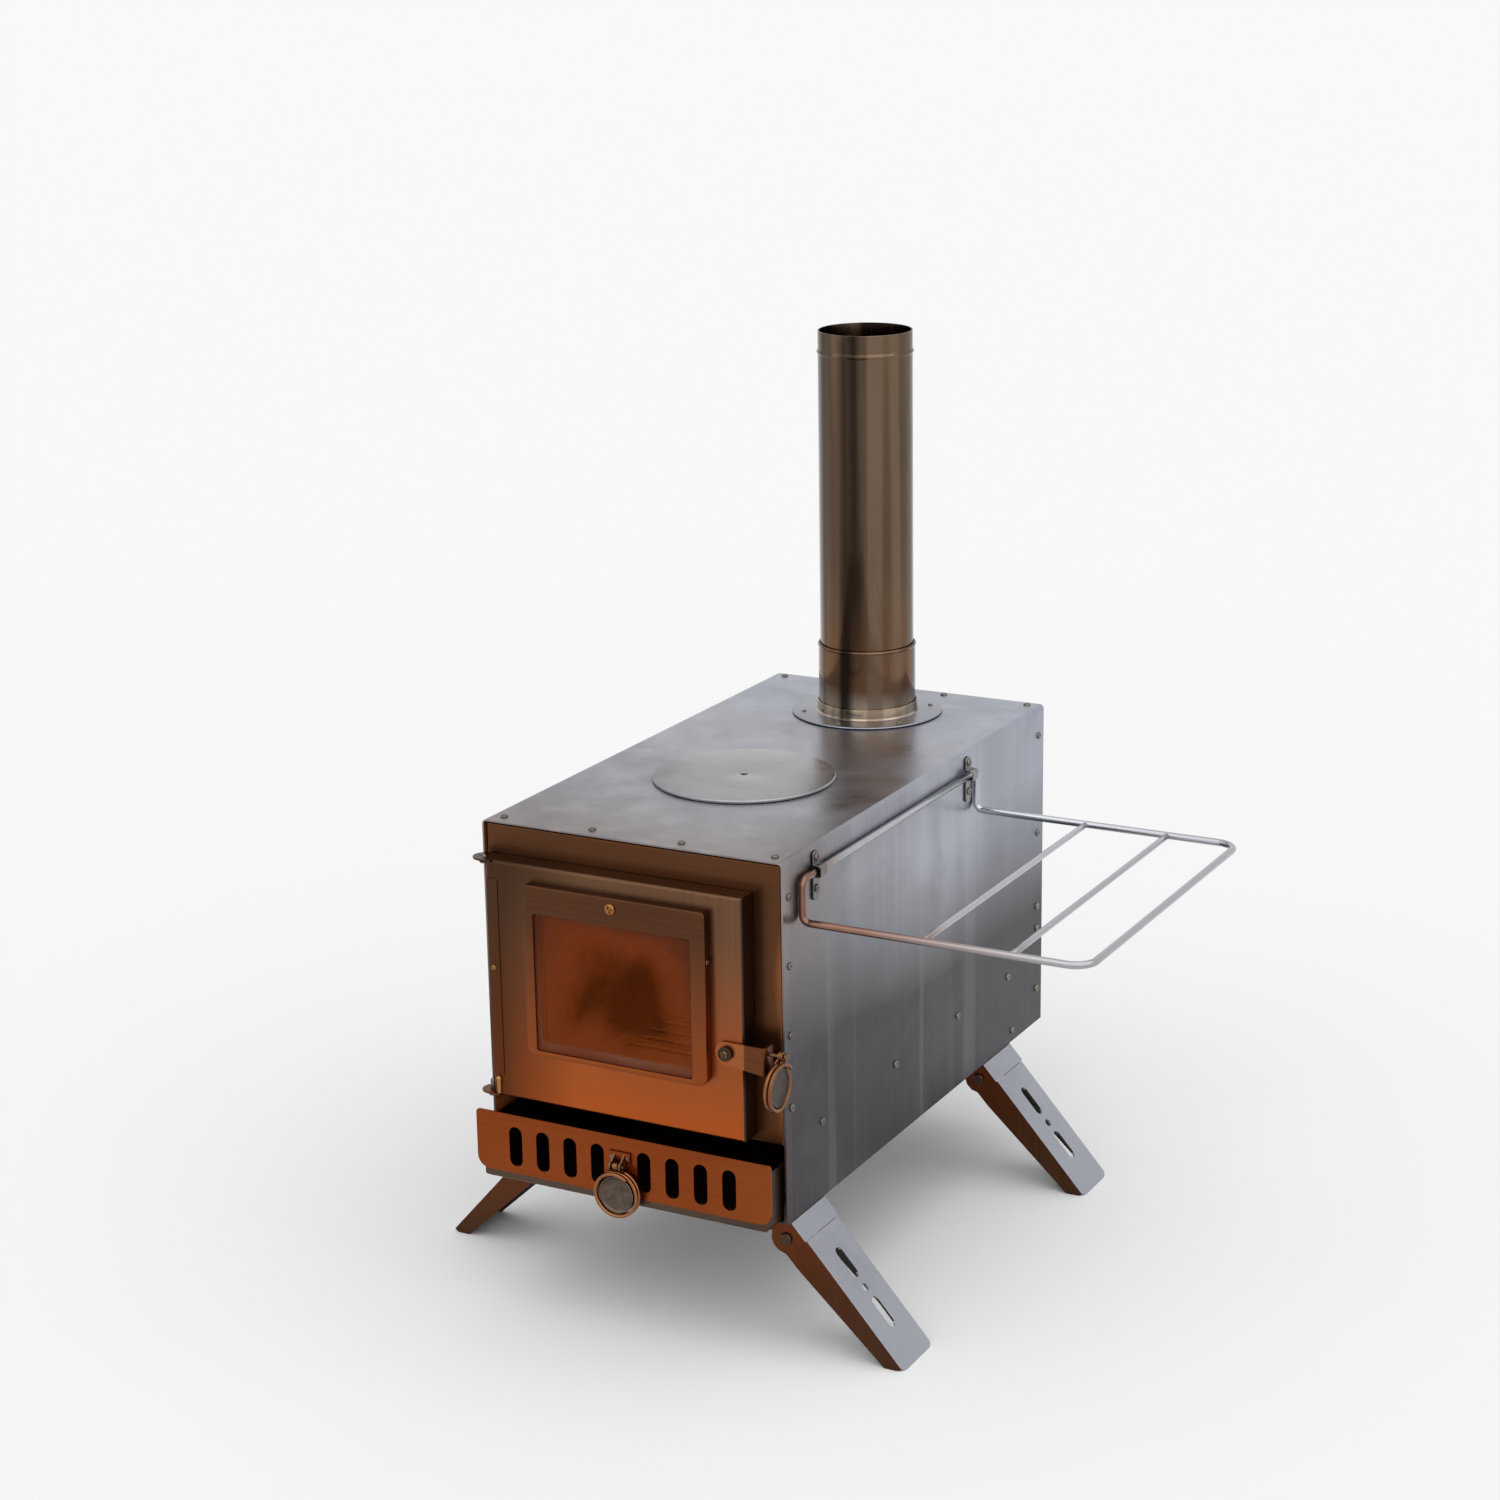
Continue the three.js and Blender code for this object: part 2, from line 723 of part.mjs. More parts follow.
function windowGasket() {
  const inset = sheet + 2 * gap;
  const outer = [
    [frameLeft + inset, frameRight - inset],
    [frameBottom + inset, frameTop - inset],
  ];
  const back = -doorFace - gap;
  const front = frameFace + sheet + gap + glassThickness + gap;
  const band = roundedRectangle(outer[0], outer[1], frameCorner - sheet);
  const hole = roundedRectangle(
    [Math.min(outer[0][0] + gasketWidth, paneLeft + windowMargin), outer[0][1] - gasketWidth],
    [outer[1][0] + gasketWidth, outer[1][1] - gasketWidth],
    windowCorner,
  );
  return cut(extrude(band, "y", [front, back]), extrude(hole, "y", [front - sheet, back + sheet]));
}

// ---- Latch ------------------------------------------------------------------------------------------

// The lever turns on the door's bolt. Its free end is wider, and is folded back into a tongue.
function latchLever() {
  const [pivotX, pivotZ] = latchPivot;
  const fold = [
    [pivotX - latchEndRadius, leverFront + heavySheet / 2],
    [leverEnd - heavySheet / 2, leverFront + heavySheet / 2],
    [leverEnd - heavySheet / 2, leverFront + latchTongue + heavySheet],
  ];
  const strip = extrude(bentSection(fold, heavySheet, foldRadius), "z", [leverLow, leverHigh]);
  const outline = new THREE.Shape();
  outline.moveTo(pivotX, pivotZ - latchEndRadius);
  outline.lineTo(leverEnd + sheet, leverLow);
  outline.lineTo(leverEnd + sheet, leverHigh);
  outline.lineTo(pivotX, pivotZ + latchEndRadius);
  outline.absarc(pivotX, pivotZ, latchEndRadius, Math.PI / 2, 1.5 * Math.PI);
  const reach = [leverFront - sheet, leverFront + latchTongue + 2 * sheet];
  const shaped = strip.intersect(extrude(outline, "y", reach));
  const hole = bar("y", reach, latchPivot, latchBoltRadius + gap, hingeSides);
  const through = [leverEnd - 2 * heavySheet, leverEnd + heavySheet];
  const pinHole = bar("x", through, latchPullHole, pullEyePin + gap, hingeSides);
  return cut(shaped, hole, pinHole);
}

function latchPivotBolt() {
  const head = leverFront - gap;
  const shank = bar("y", [head - sheet, -doorFace - gap], latchPivot, latchBoltRadius, hingeSides);
  const cap = bar("y", [head - latchBoltHeadHeight, head], latchPivot, latchBoltHead, hingeSides);
  return join(cap, shank);
}

// The keeper on the front panel stands beside the lever's tongue, which springs over it.
function latchKeeper() {
  const back = panelInset - gap;
  const side = leverEnd - heavySheet - keeperPlay - heavySheet / 2;
  const fold = [
    [side - keeperFoot, back - heavySheet / 2],
    [side, back - heavySheet / 2],
    [side, leverFront + heavySheet + 2 * gap],
  ];
  const low = latchPivot[1] - keeperDrop;
  return extrude(bentSection(fold, heavySheet, foldRadius), "z", [low, low + keeperHeight]);
}

// ---- Pulls ------------------------------------------------------------------------------------------

// A split ring of wire round an axis. A short neck runs from where it hangs to the top of its first turn.
class RingPath extends THREE.Curve {
  constructor(toPoint) {
    super();
    this.toPoint = toPoint;
    this.share = pullNeck / (pullNeck + pullTurns * 2 * Math.PI * ringRadius);
  }
  getPoint(t, target = new THREE.Vector3()) {
    if (t < this.share) {
      const start = t / this.share;
      return target.copy(this.toPoint(0, ringRadius + pullNeck * (1 - start), (-start * pullDepth) / 2));
    }
    const turn = ((t - this.share) / (1 - this.share)) * pullTurns;
    const angle = turn * 2 * Math.PI;
    const out = turn * pullPitch - pullDepth / 2;
    return target.copy(this.toPoint(ringRadius * Math.sin(angle), ringRadius * Math.cos(angle), out));
  }
  getPointAt(u, target) {
    return this.getPoint(u, target);
  }
  getTangentAt(u, target = new THREE.Vector3()) {
    const step = 1e-4;
    const before = this.getPoint(Math.max(0, u - step));
    const after = this.getPoint(Math.min(1, u + step));
    return target.copy(after).sub(before).normalize();
  }
}

function splitRing(toPoint) {
  const path = new RingPath(toPoint);
  return wireAlong(path, pullWire, pullSides, Math.round((pullTurns * pullSteps) / (1 - path.share)));
}

// The disc that the ring holds, dished on its outer face. It is turned on the Z axis.
function pullDisc() {
  const radius = ringRadius - pullWire / 2 - 2 * gap;
  const half = pullDiscThickness / 2;
  const bevel = pullDiscDish / 2;
  const profile = [
    [0, -half],
    [radius - bevel, -half],
    [radius, -half + bevel],
    [radius, half - bevel],
    [radius - bevel, half],
    [radius - 2 * bevel, half],
    [radius - 4 * bevel, half - pullDiscDish],
    [0, half - pullDiscDish],
  ];
  const points = profile.map(([x, y]) => new THREE.Vector2(x, y));
  return solidOf(new THREE.LatheGeometry(points, pullDiscSides).rotateX(Math.PI / 2));
}

// A barrel at the end of a ring's neck, which turns on a pin.
function withBarrel(ring, middle, place) {
  const half = pullEyeWidth / 2;
  const barrel = bar("x", [middle - half, middle + half], place, pullEyeRadius, hingeSides);
  const bore = bar("x", [middle - half - sheet, middle + half + sheet], place, pullEyePin + gap, hingeSides);
  return cut(join(ring, barrel), bore);
}

// The latch pull hangs beside the lever's tongue, on a pin that is riveted through it. It leans forward,
// because its back rests on the front edge of the body.
const latchPullX = leverEnd + latchPullStand + pullDepth / 2;
const pullDrop = pullNeck + ringRadius;

function latchPullPin() {
  const inner = leverEnd - heavySheet - gap;
  const outer = latchPullX + pullEyeWidth / 2 + gap;
  const ends = [inner - pullPinHeadLength, outer + pullPinHeadLength];
  const shank = bar("x", ends, latchPullHole, pullEyePin, hingeSides);
  const innerHead = bar("x", [ends[0], inner], latchPullHole, pullPinHead, hingeSides);
  const outerHead = bar("x", [outer, ends[1]], latchPullHole, pullPinHead, hingeSides);
  return join(shank, innerHead, outerHead);
}

function latchPullRing() {
  const [holeY, holeZ] = latchPullHole;
  const place = (across, up, out) => {
    const down = new THREE.Vector2(across, up - pullDrop).rotateAround(new THREE.Vector2(), -latchPullLean);
    return new THREE.Vector3(latchPullX + out, holeY + down.x, holeZ + down.y);
  };
  return withBarrel(splitRing(place), latchPullX, latchPullHole);
}

function latchPullDisc() {
  const centre = new THREE.Vector2(0, -pullDrop).rotateAround(new THREE.Vector2(), -latchPullLean);
  const turn = new THREE.Matrix4().set(
    0, 0, 1, latchPullX,
    1, 0, 0, latchPullHole[0] + centre.x,
    0, 1, 0, latchPullHole[1] + centre.y,
    0, 0, 0, 1,
  );
  return pullDisc().transform(turn.elements);
}

// The drawer pull hangs from a pin between two lugs.
const drawerPullPin = [drawerFace - drawerPullForward, drawerPullHeight];

function drawerPullEye() {
  const back = drawerFace - gap;
  const inner = pullEyeWidth / 2 + gap;
  const half = eyeLugHeight / 2;
  const low = drawerPullPin[1] - eyePlateDrop;
  const high = low + eyePlateHeight;
  const lugs = [-1, 1].map((side) => {
    const outline = new THREE.Shape();
    outline.moveTo(back, low);
    outline.lineTo(back, high);
    outline.lineTo(drawerPullPin[0], drawerPullPin[1] + half);
    outline.absarc(drawerPullPin[0], drawerPullPin[1], half, Math.PI / 2, 1.5 * Math.PI);
    const ends = [side * inner, side * (inner + sheet)].sort((a, b) => a - b);
    return extrude(outline, "x", ends);
  });
  const plate = block([-eyePlateWidth / 2, eyePlateWidth / 2], [back - sheet, back], [low, high]);
  const pin = bar("x", [-inner - 2 * sheet, inner + 2 * sheet], drawerPullPin, pullEyePin, hingeSides);
  return join(plate, ...lugs, pin);
}

function drawerPullRing() {
  const place = (across, up, out) =>
    new THREE.Vector3(across, drawerPullPin[0] - out, drawerPullPin[1] - pullDrop + up);
  return withBarrel(splitRing(place), 0, drawerPullPin);
}

function drawerPullDisc() {
  const turn = new THREE.Matrix4().set(
    1, 0, 0, 0,
    0, 0, -1, drawerPullPin[0],
    0, 1, 0, drawerPullPin[1] - pullDrop,
    0, 0, 0, 1,
  );
  return pullDisc().transform(turn.elements);
}

// ---- Ash drawer -------------------------------------------------------------------------------------

function drawerFront() {
  const plate = roundedRectangle(
    [-halfWidth, halfWidth],
    [drawerFrontLow, drawerFrontHigh],
    [drawerCorner, drawerCorner, drawerTopCorner, drawerTopCorner],
  );
  const slots = [];
  for (const side of [-1, 1]) {
    for (let i = 0; i < drawerSlotCount; i += 1) {
      const x = side * (drawerSlotFirst + i * drawerSlotPitch);
      const half = drawerSlotWidth / 2;
      const slot = roundedRectangle([x - half, x + half], [drawerSlotLow, drawerSlotHigh], half);
      slots.push(extrude(slot, "y", [drawerFace - sheet, drawerBack + sheet]));
    }
  }
  return cut(extrude(plate, "y", [drawerFace, drawerBack]), ...slots);
}

function drawerTray() {
  const half = innerHalfWidth - sheet - traySideGap;
  const front = drawerBack + gap;
  const pressed = pan([-half, half], [front, front + trayLength], trayHeight, sheet);
  const tray = pressed.translate([0, 0, sheet + gap]);
  const slotReach = drawerSlotFirst + (drawerSlotCount - 1) * drawerSlotPitch + drawerSlotWidth;
  const through = [front - sheet, front + 2 * sheet];
  const air = block([-slotReach, slotReach], through, [drawerSlotLow, drawerSlotHigh + sheet]);
  return cut(tray, air);
}

// ---- Legs -------------------------------------------------------------------------------------------

// A point on a right-hand leg, as a distance along it from the body's lower edge and one outwards from its
// face.
function onLeg(along, outwards) {
  const edge = new THREE.Vector2(halfWidth, 0);
  return edge.addScaledVector(legDirection, along).addScaledVector(legNormal, outwards);
}

const legPin = onLeg(pinAlong, -pinInset);
const bracketTop = -gap;

function legBore([low, high]) {
  return bar("y", [low - sheet, high + sheet], [legPin.x, legPin.y], legPinRadius + gap, legSides);
}

// The fixed bracket is a channel with two round ears, and its web stops the leg when it is folded out.
function legBracket(middle) {
  const edge = onLeg(bracketReach, 0);
  const ear = new THREE.Shape();
  const start = legAngle - Math.PI / 2;
  ear.moveTo(halfWidth - bracketDepth, bracketTop);
  ear.lineTo(halfWidth - bracketDepth, bracketTop - 2 * legSheet);
  ear.absarc(legPin.x, legPin.y, earRadius, -Math.PI + start / 2, start, false);
  ear.lineTo(edge.x - legSheet * legNormal.x, edge.y - legSheet * legNormal.y);
  ear.lineTo(edge.x, edge.y);
  ear.lineTo(halfWidth, bracketTop);
  const ends = [middle - bracketWidth / 2, middle + bracketWidth / 2];
  const corner = [onLeg(0, 0), edge, onLeg(bracketReach, -legSheet), onLeg(-legSheet, -legSheet)];
  const web = new THREE.Shape(corner);
  const webSolid = extrude(web, "y", ends);
  const topPlate = block([halfWidth - bracketDepth, halfWidth], ends, [bracketTop - legSheet, bracketTop]);
  const nearEar = extrude(ear, "y", [ends[0], ends[0] + legSheet]);
  const farEar = extrude(ear, "y", [ends[1] - legSheet, ends[1]]);
  const above = block([0, 2 * halfWidth], [ends[0] - sheet, ends[1] + sheet], [bracketTop, bodyHeight]);
  return cut(join(webSolid, topPlate, nearEar, farEar), above, legBore(ends));
}

function legPinSolid(middle) {
  const half = bracketWidth / 2 + gap;
  const tip = half + legPinHeadHeight;
  const shank = bar("y", [middle - tip, middle + tip], [legPin.x, legPin.y], legPinRadius, legSides);
  const nearHead = bar("y", [middle - tip, middle - half], [legPin.x, legPin.y], legPinHead, legSides);
  const farHead = bar("y", [middle + half, middle + tip], [legPin.x, legPin.y], legPinHead, legSides);
  return join(shank, nearHead, farHead);
}

// The leg is a tapered channel that turns on the pin, with two slots and a hole in its face and a level foot.
function leg(middle) {
  const footAlong = groundDrop / Math.sin(legAngle);
  const top = bracketReach + gap;
  const flange = new THREE.Shape();
  const toward = -Math.PI / 2 - legAngle;
  flange.moveTo(...onLeg(top, 0).toArray());
  flange.lineTo(...onLeg(footAlong + legFootDepth, 0).toArray());
  flange.lineTo(...onLeg(footAlong + legFootDepth, -legFootDepth).toArray());
  flange.lineTo(...onLeg(top + earRadius, -legTopDepth).toArray());
  flange.lineTo(...onLeg(pinAlong, -pinInset - knuckleRadius).toArray());
  flange.absarc(legPin.x, legPin.y, knuckleRadius, toward, toward - Math.PI, true);
  flange.lineTo(...onLeg(top, -legSheet).toArray());
  const ends = [middle - legWidth / 2, middle + legWidth / 2];
  const near = extrude(flange, "y", [ends[0], ends[0] + legSheet]);
  const far = extrude(flange, "y", [ends[1] - legSheet, ends[1]]);
  const web = new THREE.Shape([
    onLeg(top, 0),
    onLeg(top, -legSheet),
    onLeg(footAlong + legFootDepth, -legSheet),
    onLeg(footAlong + legFootDepth, 0),
  ]);
  const channel = join(near, far, extrude(web, "y", ends));
  const under = [-2 * groundDrop, -groundDrop];
  const ground = block([0, 2 * bodyWidth], [ends[0] - sheet, ends[1] + sheet], under);
  const shaped = cut(channel, ground, legBore(ends));

  // The foot's corners and the openings in the face are cut square to the face.
  const across = (shape) => {
    const tool = extrude(shape, "z", [-legSheet, legTopDepth + legSheet]);
    const turn = new THREE.Matrix4().set(
      legDirection.x, 0, -legNormal.x, halfWidth,
      0, -1, 0, middle,
      legDirection.y, 0, -legNormal.y, 0,
      0, 0, 0, 1,
    );
    return tool.transform(turn.elements);
  };
  const outline = roundedRectangle(
    [-legTopDepth, footAlong],
    [-legWidth / 2 - sheet, legWidth / 2 + sheet],
    [0, footCorner + sheet, footCorner + sheet, 0],
  );
  const slot = (along) =>
    roundedRectangle(
      [along - legSlotLength / 2, along + legSlotLength / 2],
      [-legSlotWidth / 2, legSlotWidth / 2],
      legSlotWidth / 2,
    );
  const hole = new THREE.Shape().absarc(legHoleAlong, 0, legHoleRadius, 0, 2 * Math.PI);
  return cut(shaped, across(slot(upperSlotAlong)), across(slot(lowerSlotAlong)), across(hole)).intersect(
    across(outline),
  );
}

function leftHanded(solid) {
  return solid.mirror([1, 0, 0]);
}

// ---- Side rack --------------------------------------------------------------------------------------

// A path of straight runs and round bends through the corners, with one step for each run.
class BentPath extends THREE.Curve {
  constructor(corners, bends) {
    super();
    this.points = [corners[0]];
    this.tangents = [corners[1].clone().sub(corners[0]).normalize()];
    for (let i = 1; i < corners.length - 1; i += 1) {
      const before = corners[i].clone().sub(corners[i - 1]).normalize();
      const after = corners[i + 1].clone().sub(corners[i]).normalize();
      const turn = before.angleTo(after);
      const setback = bends[i - 1] * Math.tan(turn / 2);
      const axis = before.clone().cross(after).normalize();
      const start = corners[i].clone().addScaledVector(before, -setback);
      const centre = start.clone().addScaledVector(axis.clone().cross(before), bends[i - 1]);
      for (let k = 0; k <= bendSteps; k += 1) {
        const swing = (turn * k) / bendSteps;
        const arm = start.clone().sub(centre).applyAxisAngle(axis, swing);
        this.points.push(arm.add(centre));
        this.tangents.push(before.clone().applyAxisAngle(axis, swing));
      }
    }
    this.points.push(corners[corners.length - 1]);
    this.tangents.push(this.tangents[this.tangents.length - 1].clone());
    this.steps = this.points.length - 1;
  }
  getPoint(t, target = new THREE.Vector3()) {
    return target.copy(this.points[Math.round(t * this.steps)]);
  }
  getPointAt(u, target) {
    return this.getPoint(u, target);
  }
  getTangentAt(u, target = new THREE.Vector3()) {
    return target.copy(this.tangents[Math.round(u * this.steps)]);
  }
}

// The rack is one wire. Its ends meet under the rear saddle.
function rackFrame() {
  const out = rodX + rackReach;
  const corners = [
    new THREE.Vector3(rodX, saddleRear - gap / 2, rodZ),
    new THREE.Vector3(rodX, rackFront, rodZ),
    new THREE.Vector3(rodX, rackFront, rackZ),
    new THREE.Vector3(out, rackFront, rackZ),
    new THREE.Vector3(out, rackRear, rackZ),
    new THREE.Vector3(rodX, rackRear, rackZ),
    new THREE.Vector3(rodX, rackRear, rodZ),
    new THREE.Vector3(rodX, saddleRear + gap / 2, rodZ),
  ];
  const bends = [rackBend, rackBend, rackCorner, rackCorner, rackBend, rackBend];
  const path = new BentPath(corners, bends);
  return wireAlong(path, rackWire, rackSides, path.steps);
}

function rackBar(along) {
  const x = rodX + along;
  const inset = rackWire / 2 + gap;
  const ends = [rackFront + inset, rackRear - inset];
  return bar("y", ends, [x, rackZ], rackBarWire / 2, rackSides);
}

// A saddle strap holds the rack's rod to the wall and lets it turn.
function rackSaddle(middle) {
  const rise = rackWire + 2 * gap + sheet / 2;
  const hump = rackWire / 2 + gap + sheet / 2;
  const base = sheet / 2;
  const top = saddleAboveRod;
  const bottom = saddleAboveRod - saddleHeight;
  const section = bentSection(
    [
      [base, bottom],
      [base, -hump],
      [rise, -hump],
      [rise, hump],
      [base, hump],
      [base, top],
    ],
    sheet,
    sheet,
  );
  const strap = extrude(section, "y", [middle - saddleWidth / 2, middle + saddleWidth / 2]);
  return strap.translate([halfWidth + gap, 0, rodZ]);
}

// ---- Assembly ---------------------------------------------------------------------------------------

add("body_shell", bodyShell(), "body");
add("front_panel", frontPanel(), "front");
add("rear_panel", rearPanel(), "body");
add("bottom_plate", bottomPlate(), "body");
add("firebox_floor", fireboxFloor(), "inside");
add("fire_grate", fireGrate(), "inside");
add("cooking_lid", cookingLid(), "lid");
add("flue_flange", flueFlange(), "lid");
add("flue_sleeve", flueSleeve(), "flue");
add("flue_pipe", fluePipe(), "flue");

add("door_pan", doorPan(), "door");
add("window_frame", windowFrame(), "door");
add("window_glass", windowGlass(), "glass");
add("window_gasket", windowGasket(), "gasket");
for (const [place, ear, plateSide, rise] of [
  ["upper", doorTop - sheet, -1, upperPinRise],
  ["lower", doorBottom, 1, lowerPinRise],
]) {
  add("hinge_bracket_" + place, hingeBracket(ear - gap, plateSide), "fitting");
  add("hinge_pin_" + place, hingePin(ear - gap, rise), "fitting");
}
add("latch_lever", latchLever(), "fitting");
add("latch_pivot_bolt", latchPivotBolt(), "fitting");
add("latch_pull_pin", latchPullPin(), "fitting");
add("latch_pull_ring", latchPullRing(), "ring");
add("latch_pull_disc", latchPullDisc(), "fitting");
add("latch_keeper", latchKeeper(), "fitting");

add("drawer_front", drawerFront(), "drawer");
add("drawer_tray", drawerTray(), "body");
add("drawer_pull_eye", drawerPullEye(), "fitting");
add("drawer_pull_ring", drawerPullRing(), "ring");
add("drawer_pull_disc", drawerPullDisc(), "fitting");

for (const [place, middle, isLeft] of [
  ["front_right", legFrontRight, false],
  ["rear_right", legRearRight, false],
  ["front_left", legFrontLeft, true],
  ["rear_left", legRearLeft, true],
]) {
  const hand = isLeft ? leftHanded : (solid) => solid;
  add("leg_bracket_" + place, hand(legBracket(middle)), "leg");
  add("leg_pin_" + place, hand(legPinSolid(middle)), "fitting");
  add("leg_" + place, hand(leg(middle)), "leg");
}

add("rack_frame", rackFrame(), "rack");
add("rack_bar_inner", rackBar(rackInnerBar), "rack");
add("rack_bar_outer", rackBar(rackOuterBar), "rack");
add("rack_saddle_front", rackSaddle(saddleFront), "rack");
add("rack_saddle_rear", rackSaddle(saddleRear), "rack");

// The origin is on the ground, under the middle of the whole stove.
const extent = new THREE.Box3().setFromObject(stove);
const middle = extent.getCenter(new THREE.Vector3());
stove.position.set(-middle.x, -middle.y, -extent.min.z);
console.log("origin moved by " + stove.position.toArray().map((value) => value.toFixed(4)).join(", "));

const part = new THREE.Group();
part.add(stove);

export default part;
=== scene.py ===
import math
import bpy
import bmesh
from mathutils import Matrix, Vector


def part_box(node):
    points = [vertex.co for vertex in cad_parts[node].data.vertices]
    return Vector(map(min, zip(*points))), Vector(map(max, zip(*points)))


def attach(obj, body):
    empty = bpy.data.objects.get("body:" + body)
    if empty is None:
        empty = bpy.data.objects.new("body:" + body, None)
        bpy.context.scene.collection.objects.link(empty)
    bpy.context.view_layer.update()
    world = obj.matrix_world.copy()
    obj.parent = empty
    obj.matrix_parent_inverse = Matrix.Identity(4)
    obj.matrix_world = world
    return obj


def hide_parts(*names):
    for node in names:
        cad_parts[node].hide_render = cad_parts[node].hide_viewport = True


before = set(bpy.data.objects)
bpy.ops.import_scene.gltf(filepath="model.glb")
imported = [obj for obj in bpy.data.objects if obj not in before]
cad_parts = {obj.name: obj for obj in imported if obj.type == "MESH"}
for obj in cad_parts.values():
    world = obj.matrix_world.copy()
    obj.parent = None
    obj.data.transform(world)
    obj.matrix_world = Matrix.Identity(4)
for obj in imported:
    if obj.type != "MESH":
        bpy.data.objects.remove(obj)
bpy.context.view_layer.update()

# Lengths are in millimetres, unless a comment says metres. Places are measured from the middle of the
# body's lower front edge: x to the stove's right, y to its rear and z up. Colours are sRGB, 0 to 255.
MM = 0.001
HALF_WIDTH = 104
DEPTH = 390
HEIGHT = 230
GAP = 0.3
SHEET = 1.2

shell_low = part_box("body_shell")[0]
ORIGIN = Vector((shell_low.x + HALF_WIDTH * MM, shell_low.y, shell_low.z))


def at(x, y, z):
    """The point in the frame, in metres, of a place in millimetres."""
    return ORIGIN + Vector((x, y, z)) * MM


def local_box(node):
    """The lowest and the highest corner of a solid, in millimetres."""
    low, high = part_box(node)
    return (low - ORIGIN) / MM, (high - ORIGIN) / MM


# ---- Camera --------------------------------------------------------------------------------------

CAMERA_PLACE = (914.11, -1537.26, 799.41)
AZIMUTH = math.radians(28.37)
ELEVATION = math.radians(16.05)
ROLL = math.radians(-0.96)
LENS = 75.14
SENSOR_WIDTH = 36
SIGHT_METRES = 200


def add_camera():
    """The photo's camera, which was solved from the body's straight edges."""
    level = math.cos(ELEVATION)
    back = Vector((math.sin(AZIMUTH) * level, -math.cos(AZIMUTH) * level, math.sin(ELEVATION)))
    level_right = Vector((0, 0, 1)).cross(back).normalized()
    level_up = back.cross(level_right)
    right = level_right * math.cos(ROLL) + level_up * math.sin(ROLL)
    up = level_up * math.cos(ROLL) - level_right * math.sin(ROLL)
    data = bpy.data.cameras.new("camera")
    data.lens = LENS
    data.sensor_width = SENSOR_WIDTH
    data.clip_end = SIGHT_METRES
    camera = bpy.data.objects.new("camera", data)
    turned = Matrix((right, up, back)).transposed().to_4x4()
    camera.matrix_world = Matrix.Translation(at(*CAMERA_PLACE)) @ turned
    bpy.context.scene.collection.objects.link(camera)
    bpy.context.scene.camera = camera


add_camera()


# ---- Node trees ----------------------------------------------------------------------------------

# A mix node's sockets for colours, whose names it has more than once
MIX_FACTOR, MIX_FIRST, MIX_SECOND, MIX_RESULT = 0, 6, 7, 2


def linear(rgb):
    """The shader's value of a colour."""
    channels = []
    for value in rgb:
        share = value / 255
        channels.append(share / 12.92 if share <= 0.04045 else ((share + 0.055) / 1.055) ** 2.4)
    return (*channels, 1)


def shade(rgb, factor):
    """The shader's value of a darker or lighter tone of a colour."""
    return linear([value * factor for value in rgb])


class Nodes:
    """A material and a short way to write its node tree."""

    def __init__(self, name):
        self.material = bpy.data.materials.new(name)
        self.material.use_nodes = True
        self.tree = self.material.node_tree
        self.shader = self.tree.nodes["Principled BSDF"]
        self.coordinates = self.add("ShaderNodeTexCoord").outputs["Object"]

    def add(self, kind, **values):
        node = self.tree.nodes.new(kind)
        for key, value in values.items():
            setattr(node, key, value)
        return node

    def link(self, output, socket):
        self.tree.links.new(output, socket)

    def put(self, socket, value):
        if isinstance(value, bpy.types.NodeSocket):
            self.link(value, socket)
        else:
            socket.default_value = value

    def noise(self, scale=1, detail=4, rough=0.5, stretch=(1, 1, 1), distortion=0.0, offset=(0, 0, 0)):
        mapping = self.add("ShaderNodeMapping")
        mapping.inputs["Scale"].default_value = stretch
        mapping.inputs["Location"].default_value = offset
        self.link(self.coordinates, mapping.inputs["Vector"])
        node = self.add("ShaderNodeTexNoise")
        self.link(mapping.outputs["Vector"], node.inputs["Vector"])
        node.inputs["Scale"].default_value = scale
        node.inputs["Detail"].default_value = detail
        node.inputs["Roughness"].default_value = rough
        node.inputs["Distortion"].default_value = distortion
        return node.outputs["Fac"]

    def ranged(self, value, low, high, new_low=0.0, new_high=1.0):
        node = self.add("ShaderNodeMapRange")
        self.put(node.inputs["Value"], value)
        node.inputs["From Min"].default_value = low
        node.inputs["From Max"].default_value = high
        node.inputs["To Min"].default_value = new_low
        node.inputs["To Max"].default_value = new_high
        return node.outputs["Result"]

    def math(self, operation, first, second=0.0):
        node = self.add("ShaderNodeMath", operation=operation)
        self.put(node.inputs[0], first)
        self.put(node.inputs[1], second)
        return node.outputs["Value"]

    def mix(self, factor, first, second):
        node = self.add("ShaderNodeMix", data_type="RGBA")
        self.put(node.inputs[MIX_FACTOR], factor)
        self.put(node.inputs[MIX_FIRST], first)
        self.put(node.inputs[MIX_SECOND], second)
        return node.outputs[MIX_RESULT]

    def weighted(self, *terms):
        """The sum of values, each given with its weight."""
        first, *others = [self.math("MULTIPLY", value, weight) for value, weight in terms]
        total = first
        for term in others:
            total = self.math("ADD", total, term)
        return total

    def axis(self, name):
        node = self.add("ShaderNodeSeparateXYZ")
        self.link(self.coordinates, node.inputs["Vector"])
        return node.outputs[name]

    def bump(self, height, strength, distance):
        node = self.add("ShaderNodeBump")
        node.inputs["Strength"].default_value = strength
        node.inputs["Distance"].default_value = distance
        self.put(node.inputs["Height"], height)
        self.link(node.outputs["Normal"], self.shader.inputs["Normal"])


# ---- Sheet metal ---------------------------------------------------------------------------------

